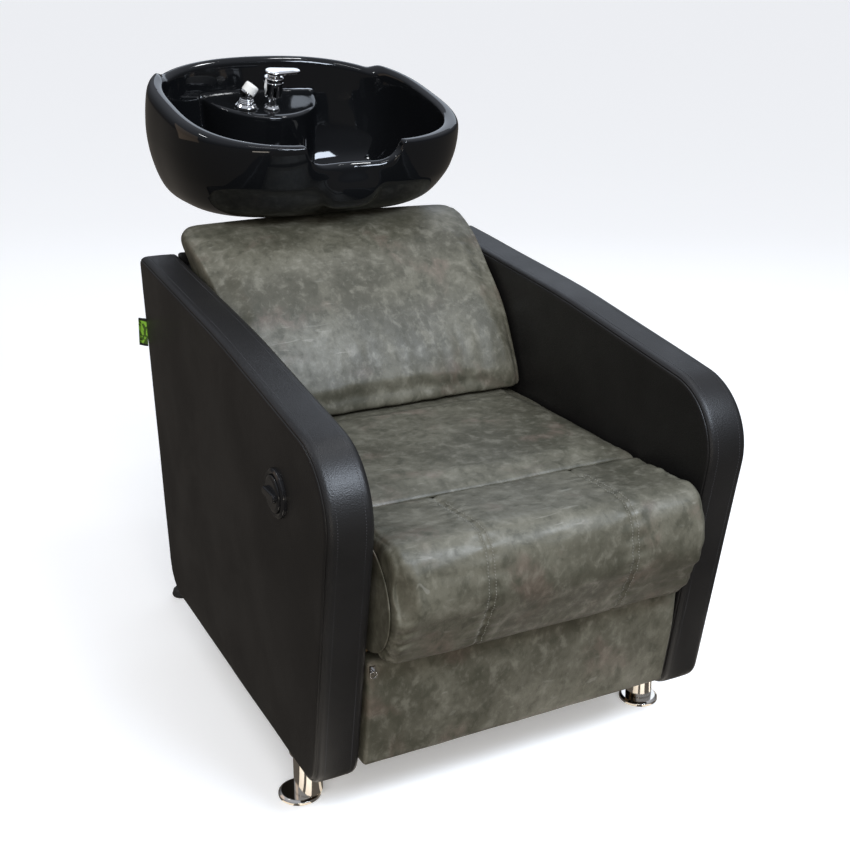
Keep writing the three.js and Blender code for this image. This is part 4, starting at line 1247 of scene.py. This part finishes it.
def add_drain():
    place, foot, top = upright("drain_flange")
    ring = [
        (20, foot), (23, foot), (23, top - 3), (34, top - 3, 0.5), (33.4, top - 0.6, 1), (30, top, 2),
        (20, top, 1.5),
    ]
    turned("drain_ring", ring, "chrome", place, "basin_unit", "drain_flange", closed=True)
    _, foot, top = upright("hair_trap")
    trap = [(0, foot), (19, foot, 0.5), (19, foot + 5, 1), (8, foot + 9, 2), (0, top)]
    turned("hair_strainer", trap, "chrome", place, "basin_unit", "hair_trap")
    _, foot, top = upright("drain_tail")
    tail = [
        (20, foot), (24, foot, 1), (24, top - 26), (31, top - 26, 1.5), (31, top, 1), (23.3, top),
        (23.3, top - 4), (20, top - 4),
    ]
    turned("drain_tailpiece", tail, "black_plastic", place, "basin_unit", "drain_tail", closed=True)


def add_inlets():
    for node in ("inlet_hot", "inlet_cold"):
        place, foot, _ = upright(node)
        stub = [(0, 0), (7, 0, 0.5), (7, 16), (10, 16, 1), (10, 26, 1), (0, 26)]
        stub = [(radius, foot + height, *rest) for radius, height, *rest in stub]
        turned(f"{node}_stub", stub, "zinc_steel", place, "basin_unit", node)


# ---- Legs, feet, knob, zip and tag ------------------------------------------------------------

def add_legs():
    for side, _ in SIDES:
        place, _, _ = upright(f"leg_disc_{side}")
        disc = [(0, 0), (30.5, 0, 0.5), (32, 1.5, 1), (32, 5, 2.5), (28, 8, 2), (0, 8)]
        turned(f"leg_base_{side}", disc, "nickel", place, "chair", f"leg_disc_{side}", "chrome")
        place, foot, top = upright(f"leg_tube_{side}")
        tube = [
            (0, foot), (21.5, foot, 0.6), (21.5, top - 5, 1.5), (27, top - 4, 0.6), (27, top, 0.4),
            (0, top),
        ]
        turned(f"leg_column_{side}", tube, "nickel", place, "chair", f"leg_tube_{side}", "chrome")
        place, _, top = upright(f"foot_rear_{side}")
        glide = [
            (0, 0), (17, 0, 1), (19, 4, 3), (16, 13, 3), (11, 18, 1.5), (7, 18.6, 0.5), (7, top), (0, top),
        ]
        turned(f"glide_{side}", glide, "black_rubber", place, "chair", f"foot_rear_{side}")


def add_knob():
    low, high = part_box("release_bezel")
    face = -high.x / MM
    place = Matrix.Translation((0, *((low + high) / 2).yz)) @ Matrix.Rotation(-math.pi / 2, 4, "Y")
    bezel = [
        (27.1, face), (35.5, face, 0.4), (35, face + 4.5, 2), (31.5, face + 7, 1.6),
        (27.1, face + 5.5, 0.8),
    ]
    turned("knob_bezel", bezel, "black_plastic", place, "chair", "release_bezel", closed=True)
    disc = [
        (0, face - 10), (5, face - 10), (5, face + 1), (26.5, face + 1, 0.4), (26.5, face + 8, 1.6),
        (22, face + 9.6, 4), (0, face + 8.4),
    ]
    knob = lathe("knob_disc", disc, "black_plastic", place)
    bar = dense_outline([(-6, -23, 5.9), (6, -23, 5.9), (6, 23, 5.9), (-6, 23, 5.9)])
    grip = slab("knob_grip", resample(bar, 0.0015), 0.007, 0.0148, 0.0024, "black_plastic", 0.002)
    grip.data.transform(place @ Matrix.Translation((0, 0, face * MM)) @ LIE_FLAT)
    finish_piece(merge([knob, grip], "knob_disc"), "release_knob", "black_plastic", "release_knob")


def add_zip():
    bpy.ops.mesh.primitive_torus_add(major_radius=0.005, minor_radius=0.0008, major_segments=48,
                                     minor_segments=12)
    ring = bpy.context.object
    ring.name = "zip_puller_ring"
    ring.data.transform(Matrix.Translation(middle_of("zip_ring")) @ Matrix.Rotation(math.pi / 2, 4, "X"))
    ring.data.materials.append(MATERIALS["chrome"])
    ring.data.polygons.foreach_set("use_smooth", [True] * len(ring.data.polygons))
    finish_piece(ring, "zip_ring", "chrome", "zip_ring")


def add_side_tag():
    """A folded ribbon, plain, sewn into the seam at the left arm's rear edge."""
    low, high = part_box("side_tag")
    root = Vector((high.x - 0.003, low.y + 0.001))
    tip = Vector((low.x + 0.001, high.y - 0.005))
    along = (tip - root).normalized()
    out = Vector((-along.y, along.x)) * 0.0012
    length = (tip - root).length
    loop = [root + along * (length * t) + out * (sign * math.sin(math.pi * min(1, 1.6 * t)))
            for sign, start, end in ((1, 0, 1), (-1, 0.97, 0)) for t in np.linspace(start, end, 14)]
    rows = np.linspace(-0.0255, 0.0255, 20)
    middle = middle_of("side_tag").z
    vertices = [(p.x, p.y - REAR_LEAN * h, middle + h) for h in rows for p in loop]
    tag = add_object("side_ribbon", vertices, quads(len(rows), len(loop), ring=False), "ribbon")
    modify(tag, "SOLIDIFY", thickness=0.0005, offset=0)
    finish_piece(tag, "chair", "black_rubber", "side_tag")


# ---- Everything -------------------------------------------------------------------------------

def dress_cad_nodes():
    """Gives each CAD node that stays visible its own finish."""
    slots = {row["node"]: row["material_slot"] for row in frame["record"]["subparts"]}
    covered = ("back_board", "back_rail", "seat_board", "seat_rail", "side_frame", "arm_core")
    for name, node in frame["nodes"].items():
        node.data.materials.clear()
        material = "lining" if name.startswith(covered) else slots[name]
        node.data.materials.append(MATERIALS[material])


add_camera()
add_lights()
add_studio()
dress_cad_nodes()
add_arms()
add_back()
add_seat()
add_knee_roll()
add_leg_rest_pad()
add_roll_ends()
add_rear_panel()
add_basin()
add_mixer()
add_shower()
add_drain()
add_inlets()
add_legs()
add_knob()
add_zip()
add_side_tag()
